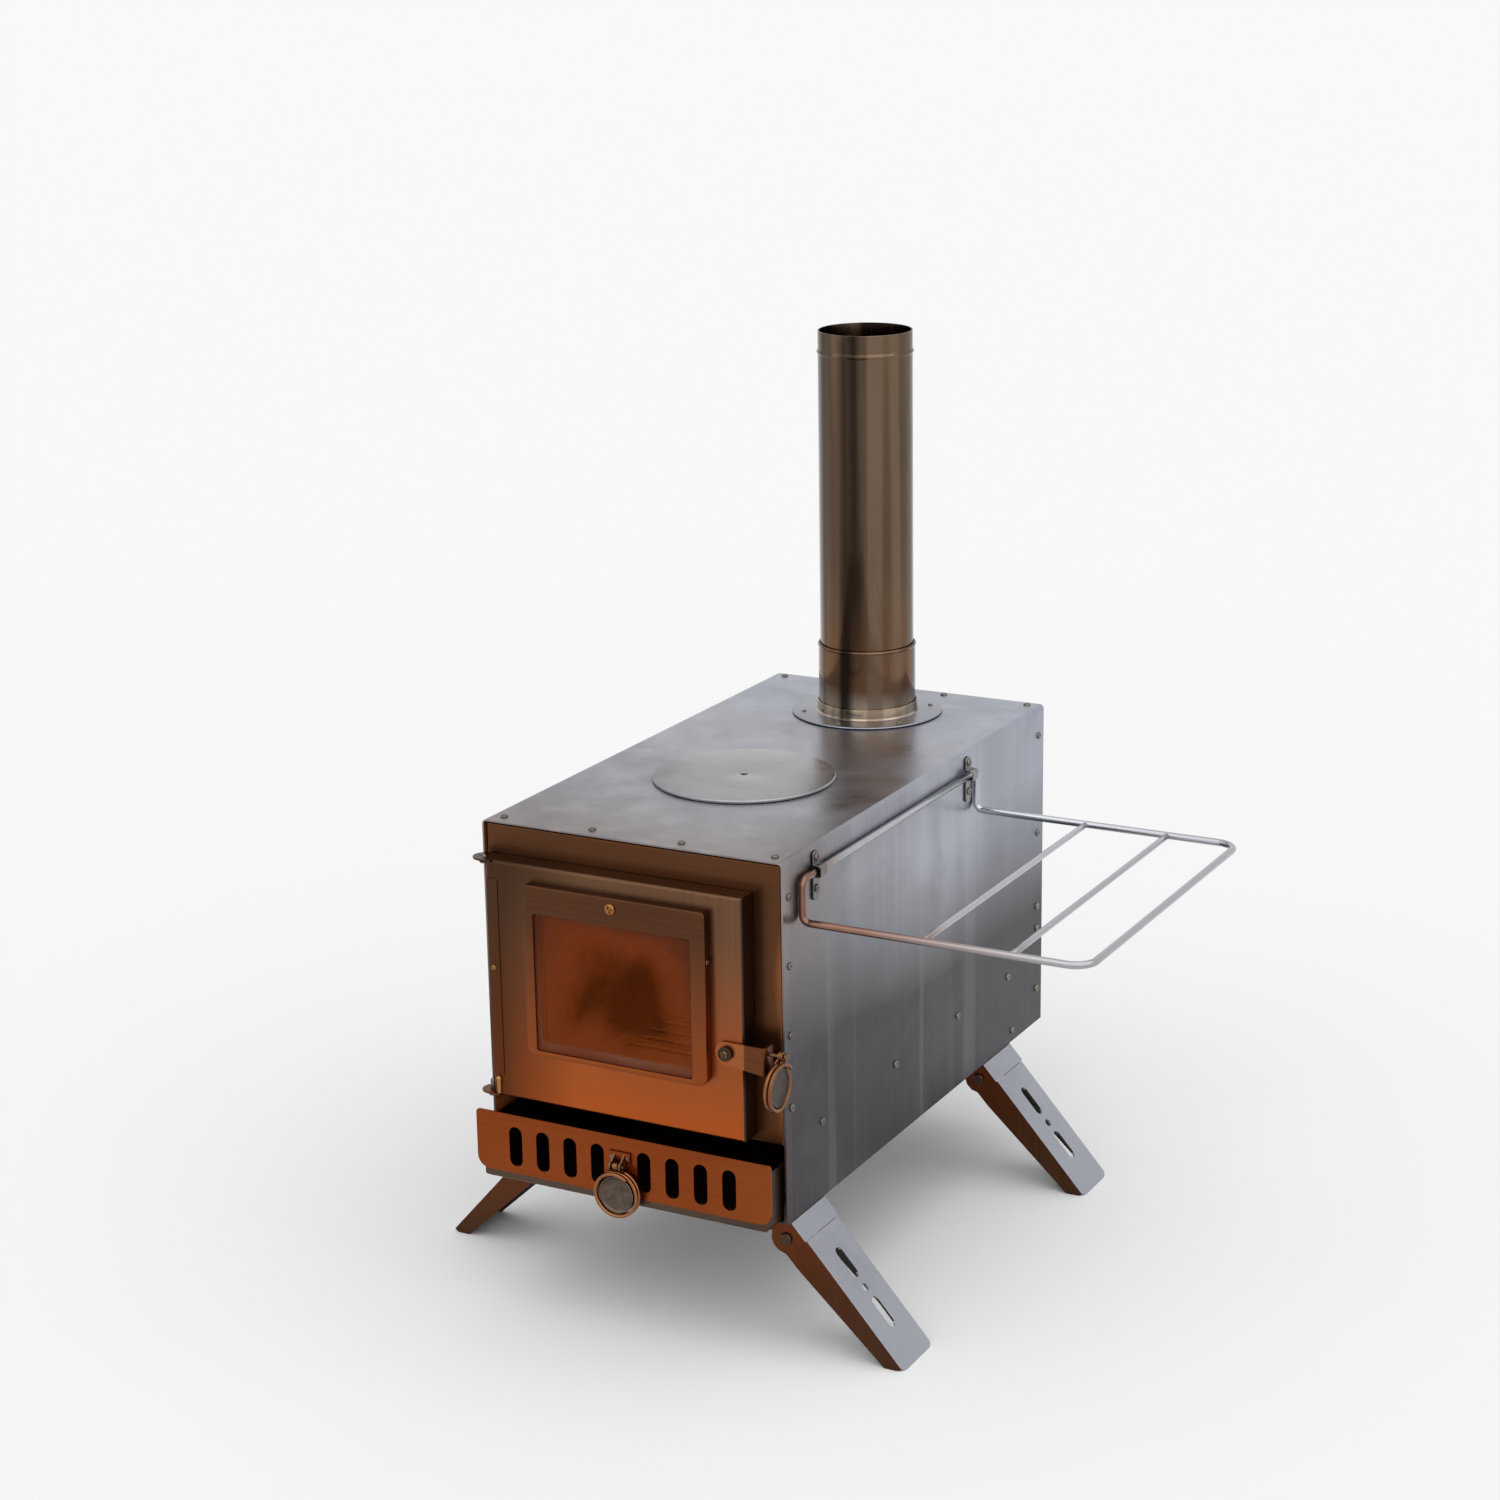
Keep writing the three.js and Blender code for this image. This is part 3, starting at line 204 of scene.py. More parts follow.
# How often the grain changes in a metre: seldom along the brushing, often across it
ALONG, ACROSS, UNBRUSHED = 6, 700, 160
GRAIN = {
    "x": (ALONG, ACROSS, ACROSS),
    "y": (ACROSS, ALONG, ACROSS),
    "z": (ACROSS, ACROSS, ALONG),
    "none": (UNBRUSHED, UNBRUSHED, UNBRUSHED),
}
GRAIN_HEIGHT = 0.06
GRAIN_SHARE = 0.3
STREAK_STRETCH = (40, 40, 1)

# The noise values between which each effect grows from nothing to its full strength
TONE_SPREAD = (0.38, 0.62)
STAIN_SPREAD = (0.52, 0.74)
WIPED_SPREAD = (0.35, 0.7)
GRAIN_SPREAD = (0.3, 0.7)
DARK_STREAK_SPREAD = (0.48, 0.58)
LIGHT_STREAK_SPREAD = (0.44, 0.36)


def tint(axis, start, end, tone, strength):
    """A tone that grows along an axis, from one place to another."""
    zero = ORIGIN["XYZ".index(axis)]
    return axis, zero + start * MM, zero + end * MM, tone, strength


def add_streaks(n, color, dark, light, strength):
    """Upright streaks, some darker and some lighter than the sheet: partly the metal's own streaking,
    partly painted reflection bands, the lighter ones painted highlights.
    """
    bands = n.noise(detail=2, stretch=STREAK_STRETCH, offset=(0.3, 0.1, 0))
    color = n.mix(n.ranged(bands, *DARK_STREAK_SPREAD, 0, strength), color, shade(dark, 0.42))
    return n.mix(n.ranged(bands, *LIGHT_STREAK_SPREAD, 0, strength * 0.7), color, shade(light, 1.3))


def add_tints(n, color, tints, broad):
    """Tones that grow along an axis, whose edges wander with the broad unevenness. A few are heat tints and
    soot; most are painted light and shade.
    """
    wobble = n.math("MULTIPLY", n.math("SUBTRACT", broad, 0.5), 0.1)
    for axis, start, end, tone, strength in tints:
        place_along = n.math("ADD", n.axis(axis), wobble)
        color = n.mix(n.ranged(place_along, start, end, 0, strength), color, linear(tone))
    return color


def metal(name, dark, light, rough, grain="none", grain_depth=0.2, smudge=0.5, streaks=0.0, metallic=1.0,
          tints=()):
    """Sheet metal that wanders between two tones, with fine stretched grain, cloudy wiping marks, streaks
    and tones along axes: heat tints and soot in some materials, painted light and shade in others."""
    n = Nodes(name)
    fine = n.noise(detail=5, rough=0.65, stretch=GRAIN[grain])
    cloud = n.noise(scale=9, detail=5, rough=0.6, distortion=0.6)
    broad = n.noise(scale=3.2, detail=3, offset=(2.1, 0.4, 1.3))
    uneven = n.weighted((fine, GRAIN_SHARE), (broad, 1 - GRAIN_SHARE))
    color = n.mix(n.ranged(uneven, *TONE_SPREAD), linear(dark), linear(light))
    color = add_tints(n, color, tints, broad)
    if streaks:
        color = add_streaks(n, color, dark, light, streaks)
    stain = n.ranged(cloud, *STAIN_SPREAD, 0, smudge * 0.3)
    n.link(n.mix(stain, color, shade(dark, 0.8)), n.shader.inputs["Base Color"])
    n.shader.inputs["Metallic"].default_value = metallic
    brushed = n.ranged(fine, *GRAIN_SPREAD, rough - 0.05, rough + 0.05)
    wiped = n.ranged(cloud, *WIPED_SPREAD, -0.05 * smudge, 0.11 * smudge)
    n.link(n.math("ADD", brushed, wiped), n.shader.inputs["Roughness"])
    n.bump(fine, grain_depth, GRAIN_HEIGHT * MM)
    return n.material


SOOT = (34, 29, 27)
MATERIALS = {
    # Steel on the outside
    "body": metal(
        "body_steel", dark=(142, 143, 150), light=(172, 174, 183), rough=0.31, grain="z", smudge=1.3,
        streaks=0.085, tints=[
            # Painted reflection: a cool, lighter tone towards the rear
            tint("Y", 220, 370, (160, 168, 184), 0.4),
            # Painted firelight: a warm tone towards the front
            tint("Y", 90, 0, (118, 96, 84), 0.5),
            # Painted shade: the wall grows dark towards the bottom, below the rack
            tint("Z", 187, 98, (41, 35, 35), 0.92)]),
    "lid": metal(
        "lid_steel", dark=(140, 138, 140), light=(174, 173, 176), rough=0.3, grain="x", smudge=1.7),
    "flange": metal(
        "flange_steel", dark=(128, 129, 137), light=(160, 161, 170), rough=0.28, grain_depth=0.08),
    # The flue's strong upright streaks are mostly painted reflection bands
    "flue": metal(
        "flue_steel", dark=(70, 56, 45), light=(96, 79, 64), rough=0.11, grain="z", grain_depth=0.04,
        streaks=0.95, tints=[
            # Warmer towards the bottom: heat tint, with a painted warm highlight near the base
            tint("Z", 350, 260, (132, 92, 60), 0.55),
            tint("Z", 252, 236, (186, 172, 152), 0.75)]),
    "rack": metal(
        "rack_steel", dark=(160, 161, 166), light=(194, 196, 202), rough=0.17, grain_depth=0.05, smudge=0.3,
        tints=[
            # Painted firelight: a warm tone on the wire towards the front
            tint("Y", 60, 25, (122, 76, 46), 0.85),
            # Back to light grey towards the outer end, so that the painted firelight stays on the front
            # run's inner part
            tint("X", 140, 270, (168, 169, 174), 0.9)]),
    "leg": metal(
        "leg_steel", dark=(146, 147, 155), light=(168, 170, 179), rough=0.32, grain="z", smudge=0.8),

    # The warm front, whose orange-brown tones are painted firelight that the steel reflects
    "front": metal(
        "front_steel", dark=(86, 55, 35), light=(104, 69, 45), rough=0.33, grain="x", tints=[
            # Painted shade and firelight: darker and redder towards the bottom
            tint("Z", 150, 50, (88, 48, 26), 0.5),
            # Painted highlight: a light strip along the right edge
            tint("X", 89, 96, (166, 102, 60), 0.55)]),
    "door": metal(
        "door_steel", dark=(102, 74, 54), light=(124, 92, 68), rough=0.32, grain="z", tints=[
            # Painted firelight: orange, stronger towards the bottom
            tint("Z", 175, 50, (176, 84, 32), 0.9),
            # Painted shade: darker towards the hinge side
            tint("X", -40, -90, (54, 31, 19), 0.75)]),
    # Painted shade on the door's side edge; the same dark tone is the leg pins' own colour
    "edge": metal("edge_steel", dark=(64, 49, 41), light=(88, 68, 56), rough=0.33, grain="z"),
    "frame": metal(
        "frame_steel", dark=(82, 52, 35), light=(108, 72, 49), rough=0.3, grain="x", tints=[
            # Painted firelight: orange towards the bottom
            tint("Z", 170, 80, (148, 76, 36), 0.85)]),
    "lever": metal(
        "lever_steel", dark=(150, 86, 50), light=(178, 108, 66), rough=0.28, grain="x", grain_depth=0.1),
    # Painted shade: the darker tone of the lever past the place of its bend
    "lever_end": metal(
        "lever_end_steel", dark=(98, 57, 36), light=(124, 75, 48), rough=0.3, grain="x", grain_depth=0.1),
    "drawer": metal(
        "drawer_steel", dark=(124, 58, 25), light=(148, 74, 34), rough=0.31, grain="x", tints=[
            # Painted firelight: lighter and warmer towards the right
            tint("X", 50, 110, (150, 84, 44), 0.5)]),
    # Painted firelight and shade: the dark warm tone of the legs' front flanges, more orange towards the
    # top
    "leg_front": metal(
        "leg_front_steel", dark=(60, 38, 26), light=(86, 57, 39), rough=0.34, grain="z", smudge=0.7, tints=[
            tint("Z", -60, 5, (112, 54, 25), 0.75)]),

    # Small fittings
    "fitting": metal(
        "fitting_steel", dark=(98, 93, 88), light=(136, 130, 123), rough=0.24, grain_depth=0.1),
    "saddle": metal(
        "saddle_steel", dark=(104, 102, 100), light=(146, 144, 142), rough=0.22, grain_depth=0.08),
    "bronze": metal("hinge_steel", dark=(98, 72, 52), light=(134, 102, 76), rough=0.26, grain_depth=0.1),
    "dark": metal("dark_screw_steel", dark=(58, 45, 36), light=(84, 66, 52), rough=0.28, grain_depth=0.1),
    "brass": metal(
        "warm_screw_steel", dark=(150, 102, 58), light=(190, 138, 84), rough=0.24, grain_depth=0.1),
    "ring": metal("ring_steel", dark=(124, 80, 50), light=(164, 112, 74), rough=0.2, grain_depth=0.1),
    "disc": metal(
        "disc_steel", dark=(58, 50, 45), light=(120, 104, 92), rough=0.2, grain_depth=0.45, smudge=1.6),

    # Inner faces
    # Painted firelight: a bright orange oxide tone, far lighter than a cold firebox, so that the inside
    # glows through the glass; soot darkens it towards the top
    "inside": metal(
        "inside_steel", dark=(186, 96, 40), light=(240, 148, 72), rough=0.45, smudge=1.6, metallic=0.2,
        tints=[
            tint("Z", 140, 220, SOOT, 0.8)]),
    # Soot inside the stove; on the legs' inner faces the same dark tone is painted shade
    "soot_and_shade": metal("soot_and_shade_steel", dark=SOOT, light=(62, 54, 49), rough=0.6, smudge=1.0, metallic=0.3),
    "tray": metal("tray_steel", dark=(72, 58, 48), light=(96, 80, 67), rough=0.4, grain="y", smudge=0.9),
}


# ---- Glass and rope ------------------------------------------------------------------------------

def glass_material():
    """Stove glass with the brown film that smoke leaves: clear in the middle, thicker towards its edges and
    its top and in patches."""
    thin_tone, thick_tone = (210, 96, 28), (66, 27, 11)
    least_alpha, most_alpha = 0.04, 0.6
    n = Nodes("stove_glass")
    low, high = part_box("window_glass")
    middle = (low + high) / 2
    film = n.noise(scale=14, detail=4, rough=0.6, distortion=0.8)
    from_middle_x = n.math("ABSOLUTE", n.math("SUBTRACT", n.axis("X"), middle.x))
    from_middle_z = n.math("ABSOLUTE", n.math("SUBTRACT", n.axis("Z"), middle.z))
    towards_side = n.ranged(from_middle_x, 20 * MM, 55 * MM)
    towards_end = n.ranged(from_middle_z, 15 * MM, 50 * MM)
    edge = n.math("MAXIMUM", towards_side, towards_end)
    top = n.ranged(n.axis("Z"), middle.z - 20 * MM, middle.z + 50 * MM)
    thickness = n.weighted((film, 0.5), (edge, 0.28), (top, 0.22))
    color = n.mix(n.ranged(thickness, 0.2, 0.75), linear(thin_tone), linear(thick_tone))
    n.link(color, n.shader.inputs["Base Color"])
    n.link(n.ranged(thickness, 0.3, 0.8, least_alpha, most_alpha), n.shader.inputs["Alpha"])
    n.shader.inputs["IOR"].default_value = 1.45
    n.shader.inputs["Specular IOR Level"].default_value = 0.2
    n.shader.inputs["Roughness"].default_value = 0.05
    return n.material


def rope_material():
    """Grey gasket rope with a fine weave."""
    n = Nodes("gasket_rope")
    weave = n.noise(detail=2, stretch=(900, 900, 900))
    color = n.mix(n.ranged(weave, 0.35, 0.65), linear((52, 48, 45)), linear((96, 90, 84)))
    n.link(color, n.shader.inputs["Base Color"])
    n.shader.inputs["Roughness"].default_value = 0.95
    n.bump(weave, 0.6, 0.3 * MM)
    return n.material


MATERIALS["glass"] = glass_material()
MATERIALS["rope"] = rope_material()


# ---- Piece makers --------------------------------------------------------------------------------

# What the makers share: a radius that counts as none, how close points merge, how flat faces have to meet
# to be one, how sharp an edge is when it stays sharp or is rounded, and how round corners and wire ends are
ON_AXIS = 1e-6
MERGE_DISTANCE = 0.002
FLAT_DEGREES = 0.6
SHARP_DEGREES = 34
BEVEL_DEGREES = 38
CORNER_STEPS = 6
WIRE_END_ROUNDING = 0.35
FACING = {
    "x": Matrix.Rotation(math.pi / 2, 4, "Y"),
    "-x": Matrix.Rotation(-math.pi / 2, 4, "Y"),
    "y": Matrix.Rotation(-math.pi / 2, 4, "X"),
    "-y": Matrix.Rotation(math.pi / 2, 4, "X"),
    "z": Matrix.Identity(4),
}


def place(name, mesh, body, material, replaces=()):
    """A piece that rides a body and takes the place of solids."""
    piece = bpy.data.objects.new(name, mesh)
    bpy.context.scene.collection.objects.link(piece)
    piece.data.materials.clear()
    piece.data.materials.append(MATERIALS[material])
    if replaces:
        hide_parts(*replaces)
    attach(piece, body)
    return piece


def smooth(mesh, sharp_degrees=SHARP_DEGREES):
    mesh.shade_smooth()
    mesh.set_sharp_from_angle(angle=math.radians(sharp_degrees))
    return mesh


def mesh_of(bm, name, sharp_degrees=SHARP_DEGREES):
    mesh = bpy.data.meshes.new(name)
    bm.to_mesh(mesh)
    bm.free()
    return smooth(mesh, sharp_degrees)


def other_finishes(piece, others):
    """Gives some faces of a piece another finish. The others are (finish, test) pairs, and a test gets a
    face's centre in millimetres and its normal."""
    for finish, test in others:
        piece.data.materials.append(MATERIALS[finish])
        index = len(piece.data.materials) - 1
        for face in piece.data.polygons:
            if test((face.center - ORIGIN) / MM, face.normal):
                face.material_index = index
    return piece


def merge_flat_faces(bm):
    bmesh.ops.remove_doubles(bm, verts=bm.verts, dist=MERGE_DISTANCE * MM)
    bmesh.ops.dissolve_limit(bm, angle_limit=math.radians(FLAT_DEGREES), verts=bm.verts, edges=bm.edges)


def split_faces(bm, point, direction):
    whole = bm.verts[:] + bm.edges[:] + bm.faces[:]
    bmesh.ops.bisect_plane(bm, geom=whole, plane_co=at(*point), plane_no=direction)


def round_corners(bm, radius, is_corner):
    chosen = []
    for edge in bm.edges:
        first, second = (vert.co for vert in edge.verts)
        if is_corner(((first + second) / 2 - ORIGIN) / MM, (second - first).normalized()):
            chosen.append(edge)
    bmesh.ops.bevel(bm, geom=chosen, offset=radius * MM, segments=CORNER_STEPS, affect="EDGES", profile=0.5)


def with_round_edges(mesh, name, width, segments):
    """A mesh with its sharp edges rounded."""
    holder = bpy.data.objects.new(name, mesh)
    bpy.context.scene.collection.objects.link(holder)
    bevel = holder.modifiers.new("bevel", "BEVEL")
    bevel.width = width * MM
    bevel.segments = segments
    bevel.limit_method = "ANGLE"
    bevel.angle_limit = math.radians(BEVEL_DEGREES)
    bevel.use_clamp_overlap = True
    weighted = holder.modifiers.new("normals", "WEIGHTED_NORMAL")
    weighted.keep_sharp = True
    depsgraph = bpy.context.evaluated_depsgraph_get()
    rounded = bpy.data.meshes.new_from_object(holder.evaluated_get(depsgraph))
    bpy.data.objects.remove(holder)
    return rounded


def refined(node, body, material, bevel=0.28, segments=2, others=(), corners=None, split=None):
    """A closer copy of a solid: flat faces merged, edges rounded and shading smoothed. The corners are a
    radius and a test, which gets an edge's middle in millimetres and its direction. Faces are split on
    a plane, given as a point and a direction, so that another finish can end there."""
    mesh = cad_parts[node].data.copy()
    bm = bmesh.new()
    bm.from_mesh(mesh)
    merge_flat_faces(bm)
    if split:
        split_faces(bm, *split)
    if corners:
        round_corners(bm, *corners)
    bm.to_mesh(mesh)
    bm.free()
    rounded = with_round_edges(smooth(mesh), node + "_holder", bevel, segments)
    return other_finishes(place(node + "_fine", rounded, body, material, (node,)), others)


def skin(bm, first, second):
    """Faces between two rings, either of which may be a single point."""
    count = max(len(first), len(second))
    if count == 1:
        return
    for i in range(count):
        k = (i + 1) % count
        if len(first) == 1:
            bm.faces.new((first[0], second[k], second[i]))
        elif len(second) == 1:
            bm.faces.new((first[i], first[k], second[0]))
        else:
            bm.faces.new((first[i], first[k], second[k], second[i]))


def lathe(profile, centre, sides, axis="z"):
    """A turned form with its centre at a point in metres. The profile holds (radius, height) pairs, and
    closes on itself."""
    bm = bmesh.new()
    rings = []
    for radius, height in profile:
        reach = radius * MM
        ring = []
        for i in range(sides if radius > ON_AXIS else 1):
            angle = 2 * math.pi * i / sides
            ring.append(bm.verts.new((reach * math.cos(angle), reach * math.sin(angle), height * MM)))
        rings.append(ring)
    for low, high in zip(rings, rings[1:] + rings[:1]):
        skin(bm, low, high)
    bm.transform(Matrix.Translation(centre) @ FACING[axis])
    bmesh.ops.recalc_face_normals(bm, faces=bm.faces)
    return mesh_of(bm, "lathe")


def rounded_profile(points, radius, steps=3):
    """The same closed profile with its corners rounded."""
    result = []
    count = len(points)
    for i, point in enumerate(points):
        corner = Vector(point)
        before = Vector(points[i - 1]) - corner
        after = Vector(points[(i + 1) % count]) - corner
        if corner.x < ON_AXIS:
            result.append(tuple(corner))
            continue
        reach = min(radius, before.length * 0.45, after.length * 0.45)
        start = corner + before.normalized() * reach
        end = corner + after.normalized() * reach
        for k in range(steps + 1):
            t = k / steps
            result.append(tuple(start * (1 - t) ** 2 + corner * 2 * t * (1 - t) + end * t * t))
    return result


def round_end(bm, ring, direction, radius):
    """Closes a wire's end with a low dome."""
    centre = sum((vert.co for vert in ring), Vector()) / len(ring)
    outer = ring
    for share in (0.35, 0.7):
        angle = share * math.pi / 2
        rise = direction * radius * MM * WIRE_END_ROUNDING * math.sin(angle)
        inner = [bm.verts.new(centre + (vert.co - centre) * math.cos(angle) + rise) for vert in ring]
        skin(bm, outer, inner)
        outer = inner
    bm.faces.new(outer)


def tube(points, radius, sides):
    """A round wire along points in metres, with rounded ends."""
    bm = bmesh.new()
    last = len(points) - 1
    tangents = [(points[min(i + 1, last)] - points[max(i - 1, 0)]).normalized() for i in range(last + 1)]
    normal = tangents[0].orthogonal().normalized()
    rings = []
    for i, point in enumerate(points):
        if i:
            turn = tangents[i - 1].rotation_difference(tangents[i])
            normal = (turn @ normal).normalized()
        side = tangents[i].cross(normal)
        ring = []
        for k in range(sides):
            angle = 2 * math.pi * k / sides
            outward = normal * math.cos(angle) + side * math.sin(angle)
            ring.append(bm.verts.new(point + outward * radius * MM))
        rings.append(ring)
    for low, high in zip(rings, rings[1:]):
        skin(bm, low, high)
    round_end(bm, rings[0], -tangents[0], radius)
    round_end(bm, rings[-1], tangents[-1], radius)
    bmesh.ops.recalc_face_normals(bm, faces=bm.faces)
    return mesh_of(bm, "tube", sharp_degrees=50)


def bent(corners, bends, steps=10):
    """Points in metres along straight runs and round bends, whose radii are given."""
    points = [at(*corners[0])]
    for i, radius in enumerate(bends, 1):
        corner = Vector(corners[i])
        before = (corner - Vector(corners[i - 1])).normalized()
        after = (Vector(corners[i + 1]) - corner).normalized()
        angle = before.angle(after)
        start = corner - before * (radius * math.tan(angle / 2))
        axis = before.cross(after).normalized()
        centre = start + axis.cross(before) * radius
        for k in range(steps + 1):
            arm = Matrix.Rotation(angle * k / steps, 3, axis) @ (start - centre)
            points.append(at(*(centre + arm)))
    points.append(at(*corners[-1]))
    return points


def rounded_contour(left, right, low, high, radii, inset=0.0, steps=8):
    """Points (x, z) round an upright rectangle from its lower left corner on, made smaller by an inset. The
    radii are those of the lower left, lower right, upper right and upper left corner."""
    smallest_bend = 0.2
    corners = [(left, low, 1, 1, 180), (right, low, -1, 1, 270),
               (right, high, -1, -1, 0), (left, high, 1, -1, 90)]
    points = []
    for (x, z, inward_x, inward_z, start), radius in zip(corners, radii):
        bend = max(radius - inset, smallest_bend)
        centre_x = x + inward_x * (inset + bend)
        centre_z = z + inward_z * (inset + bend)
        for k in range(steps + 1):
            angle = math.radians(start + 90 * k / steps)
            points.append((centre_x + bend * math.cos(angle), centre_z + bend * math.sin(angle)))
    return points


def loops_mesh(loops, closed=True):
    """A skin over loops of equal length, each given as (points, y). The first loop follows the last when
    closed, and otherwise both ends are capped."""
    bm = bmesh.new()
    rings = [[bm.verts.new(at(x, y, z)) for x, z in points] for points, y in loops]
    for first, second in zip(rings, rings[1:]):
        skin(bm, first, second)
    if closed:
        skin(bm, rings[-1], rings[0])
    else:
        bm.faces.new(rings[0])
        bm.faces.new(rings[-1])
    bmesh.ops.recalc_face_normals(bm, faces=bm.faces)
    return mesh_of(bm, "loops", sharp_degrees=40)


def joined_mesh(*meshes):
    bm = bmesh.new()
    for mesh in meshes:
        bm.from_mesh(mesh)
    return mesh_of(bm, "joined", sharp_degrees=45)


# ---- Screws and rivets ---------------------------------------------------------------------------

# The rings of a domed head, as shares of its radius and its height, and the first of them in its flat top
HEAD_RINGS = ((1, 0), (1, 0.35), (0.93, 0.68), (0.72, 0.92), (0.52, 1), (0.34, 1), (0.16, 1))
FLAT_TOP = 4
HEAD_SIDES = 32
CROSS_WIDTH = 0.42
CROSS_DEPTH = 0.55
FIRST_SPIN, NEXT_SPIN = 0.3, 0.7


def head_mesh(radius, height, cross=True):
    """A domed head along +Z, with or without a cross recess."""
    bm = bmesh.new()
    rings = []
    for index, (radius_share, height_share) in enumerate(HEAD_RINGS):
        innermost = index == len(HEAD_RINGS) - 1
        ring = []
        for i in range(HEAD_SIDES):
            angle = 2 * math.pi * i / HEAD_SIDES
            in_cross = innermost or abs(math.sin(2 * angle)) < CROSS_WIDTH
            sunk = height * CROSS_DEPTH if cross and index >= FLAT_TOP and in_cross else 0
            reach = radius * radius_share
            level = height * height_share - sunk
            point = (reach * math.cos(angle) * MM, reach * math.sin(angle) * MM, level * MM)
            ring.append(bm.verts.new(point))
        rings.append(ring)
    for low, high in zip(rings, rings[1:]):
        skin(bm, low, high)
    bm.faces.new(rings[-1])
    bm.faces.new(list(reversed(rings[0])))
    return mesh_of(bm, "screw", sharp_degrees=40)


SCREW = head_mesh(2.5, 1.3)
SMALL_SCREW = head_mesh(1.7, 0.9)
BIG_SCREW = head_mesh(3.6, 1.7)
RIVET = head_mesh(1.6, 0.9, cross=False)


def screws(name, mesh, places, facing, body, material="fitting"):
    """One piece that holds every screw of a row, each turned in by another amount."""
    bm = bmesh.new()
    for index, (x, y, z) in enumerate(places):
        spin = Matrix.Rotation(NEXT_SPIN * index + FIRST_SPIN, 4, "Z")
        copy = mesh.copy()
        copy.transform(Matrix.Translation(at(x, y, z)) @ FACING[facing] @ spin)
        bm.from_mesh(copy)
        bpy.data.meshes.remove(copy)
    return place(name, mesh_of(bm, name, sharp_degrees=40), body, material)


# ---- Body ----------------------------------------------------------------------------------------

# Where the finishes of the inner faces begin and end, and which way a face has to look for them
FIREBOX_LOW = 56
BOTTOM_INSIDE = 1
REAR_LIP = DEPTH - 5
PANEL_DEPTH = 2.6
FACES_IN = -0.05
FACES_REAR = 0.2


def inside_shell(p, normal):
    half_height = HEIGHT / 2
    outward = normal.x * p.x / HALF_WIDTH + normal.z * (p.z - half_height) / half_height
    return outward < FACES_IN and p.y < REAR_LIP


def in_shell_firebox(p, normal):
    return inside_shell(p, normal) and p.z > FIREBOX_LOW


def in_firebox(p, normal):
    return p.z > FIREBOX_LOW and PANEL_DEPTH < p.y < DEPTH - PANEL_DEPTH


def in_rear_firebox(p, normal):
    return in_firebox(p, normal) and normal.y < FACES_REAR


def above_bottom(p, normal):
    return p.z > BOTTOM_INSIDE


def body():
    """The folded shell and its panels, with a dark sooty tone inside the shell and, on the faces that the
    fire reaches, a bright orange firebox tone that is painted firelight.
    """
    rear_lip = ((0, REAR_LIP, 0), (0, 1, 0))
    shell_others = [("soot_and_shade", inside_shell), ("inside", in_shell_firebox)]
    refined("body_shell", "stove", "body", bevel=0.35, split=rear_lip, others=shell_others)
    refined("rear_panel", "stove", "body", others=[("inside", in_rear_firebox)])
    refined("bottom_plate", "stove", "body", others=[("soot_and_shade", above_bottom)])
    refined("front_panel", "stove", "front", others=[("inside", in_firebox)])
    refined("firebox_floor", "stove", "inside")
    refined("fire_grate", "stove", "inside")


def body_screws():
    """The rows of screws on the walls, the top and the rear."""
    front_y, front_heights = 8, (207, 164, 120, 74)
    rear_y, rear_heights = DEPTH - 9, (210, 140, 86, 70, 25)
    floor_z, floor_depths = 50, (48, 152, 248, 331)
    foot_y, foot_z = 339, 8
    right = [(HALF_WIDTH, front_y, z) for z in front_heights]
    right += [(HALF_WIDTH, rear_y, z) for z in rear_heights]
    right += [(HALF_WIDTH, y, floor_z) for y in floor_depths]
    right.append((HALF_WIDTH, foot_y, foot_z))
    screws("wall_screws_right", SCREW, right, "x", "stove")
    screws("wall_screws_left", SCREW, [(-x, y, z) for x, y, z in right], "-x", "stove")

    top = [(x, y, HEIGHT) for y in (10, DEPTH - 6) for x in (-94, -31, 31, 94)]
    screws("top_screws", SCREW, top, "z", "stove")

    rear = [(x, DEPTH - SHEET, z) for x in (-90, 90) for z in (30, 115, 200)]
    screws("rear_screws", SMALL_SCREW, rear, "y", "stove")


body()
body_screws()


# ---- Lid and flue --------------------------------------------------------------------------------

TURNED_SIDES = 160
LID_MIDDLE = 147
FLUE_MIDDLE = DEPTH - 64
SEAT = HEIGHT + GAP


def cooking_lid():
    """A round plate with a lifting hole, and under it the rim that centres it in the body's hole."""
    lift_hole, rim_inside, rim_outside, radius = 2.3, 49.6, 50.8, 58.7
    rim_low = SEAT - 5
    top = SEAT + 2
    profile = [(lift_hole, SEAT), (rim_inside, SEAT), (rim_inside, rim_low), (rim_outside, rim_low),
               (rim_outside, SEAT), (radius - 0.1, SEAT), (radius, SEAT + 0.5), (radius, top - 0.7),
               (radius - 0.6, top), (lift_hole, top)]
    mesh = lathe(rounded_profile(profile, 0.3), at(0, LID_MIDDLE, 0), TURNED_SIDES)
    place("cooking_lid_fine", mesh, "lid", "lid", ("cooking_lid",))


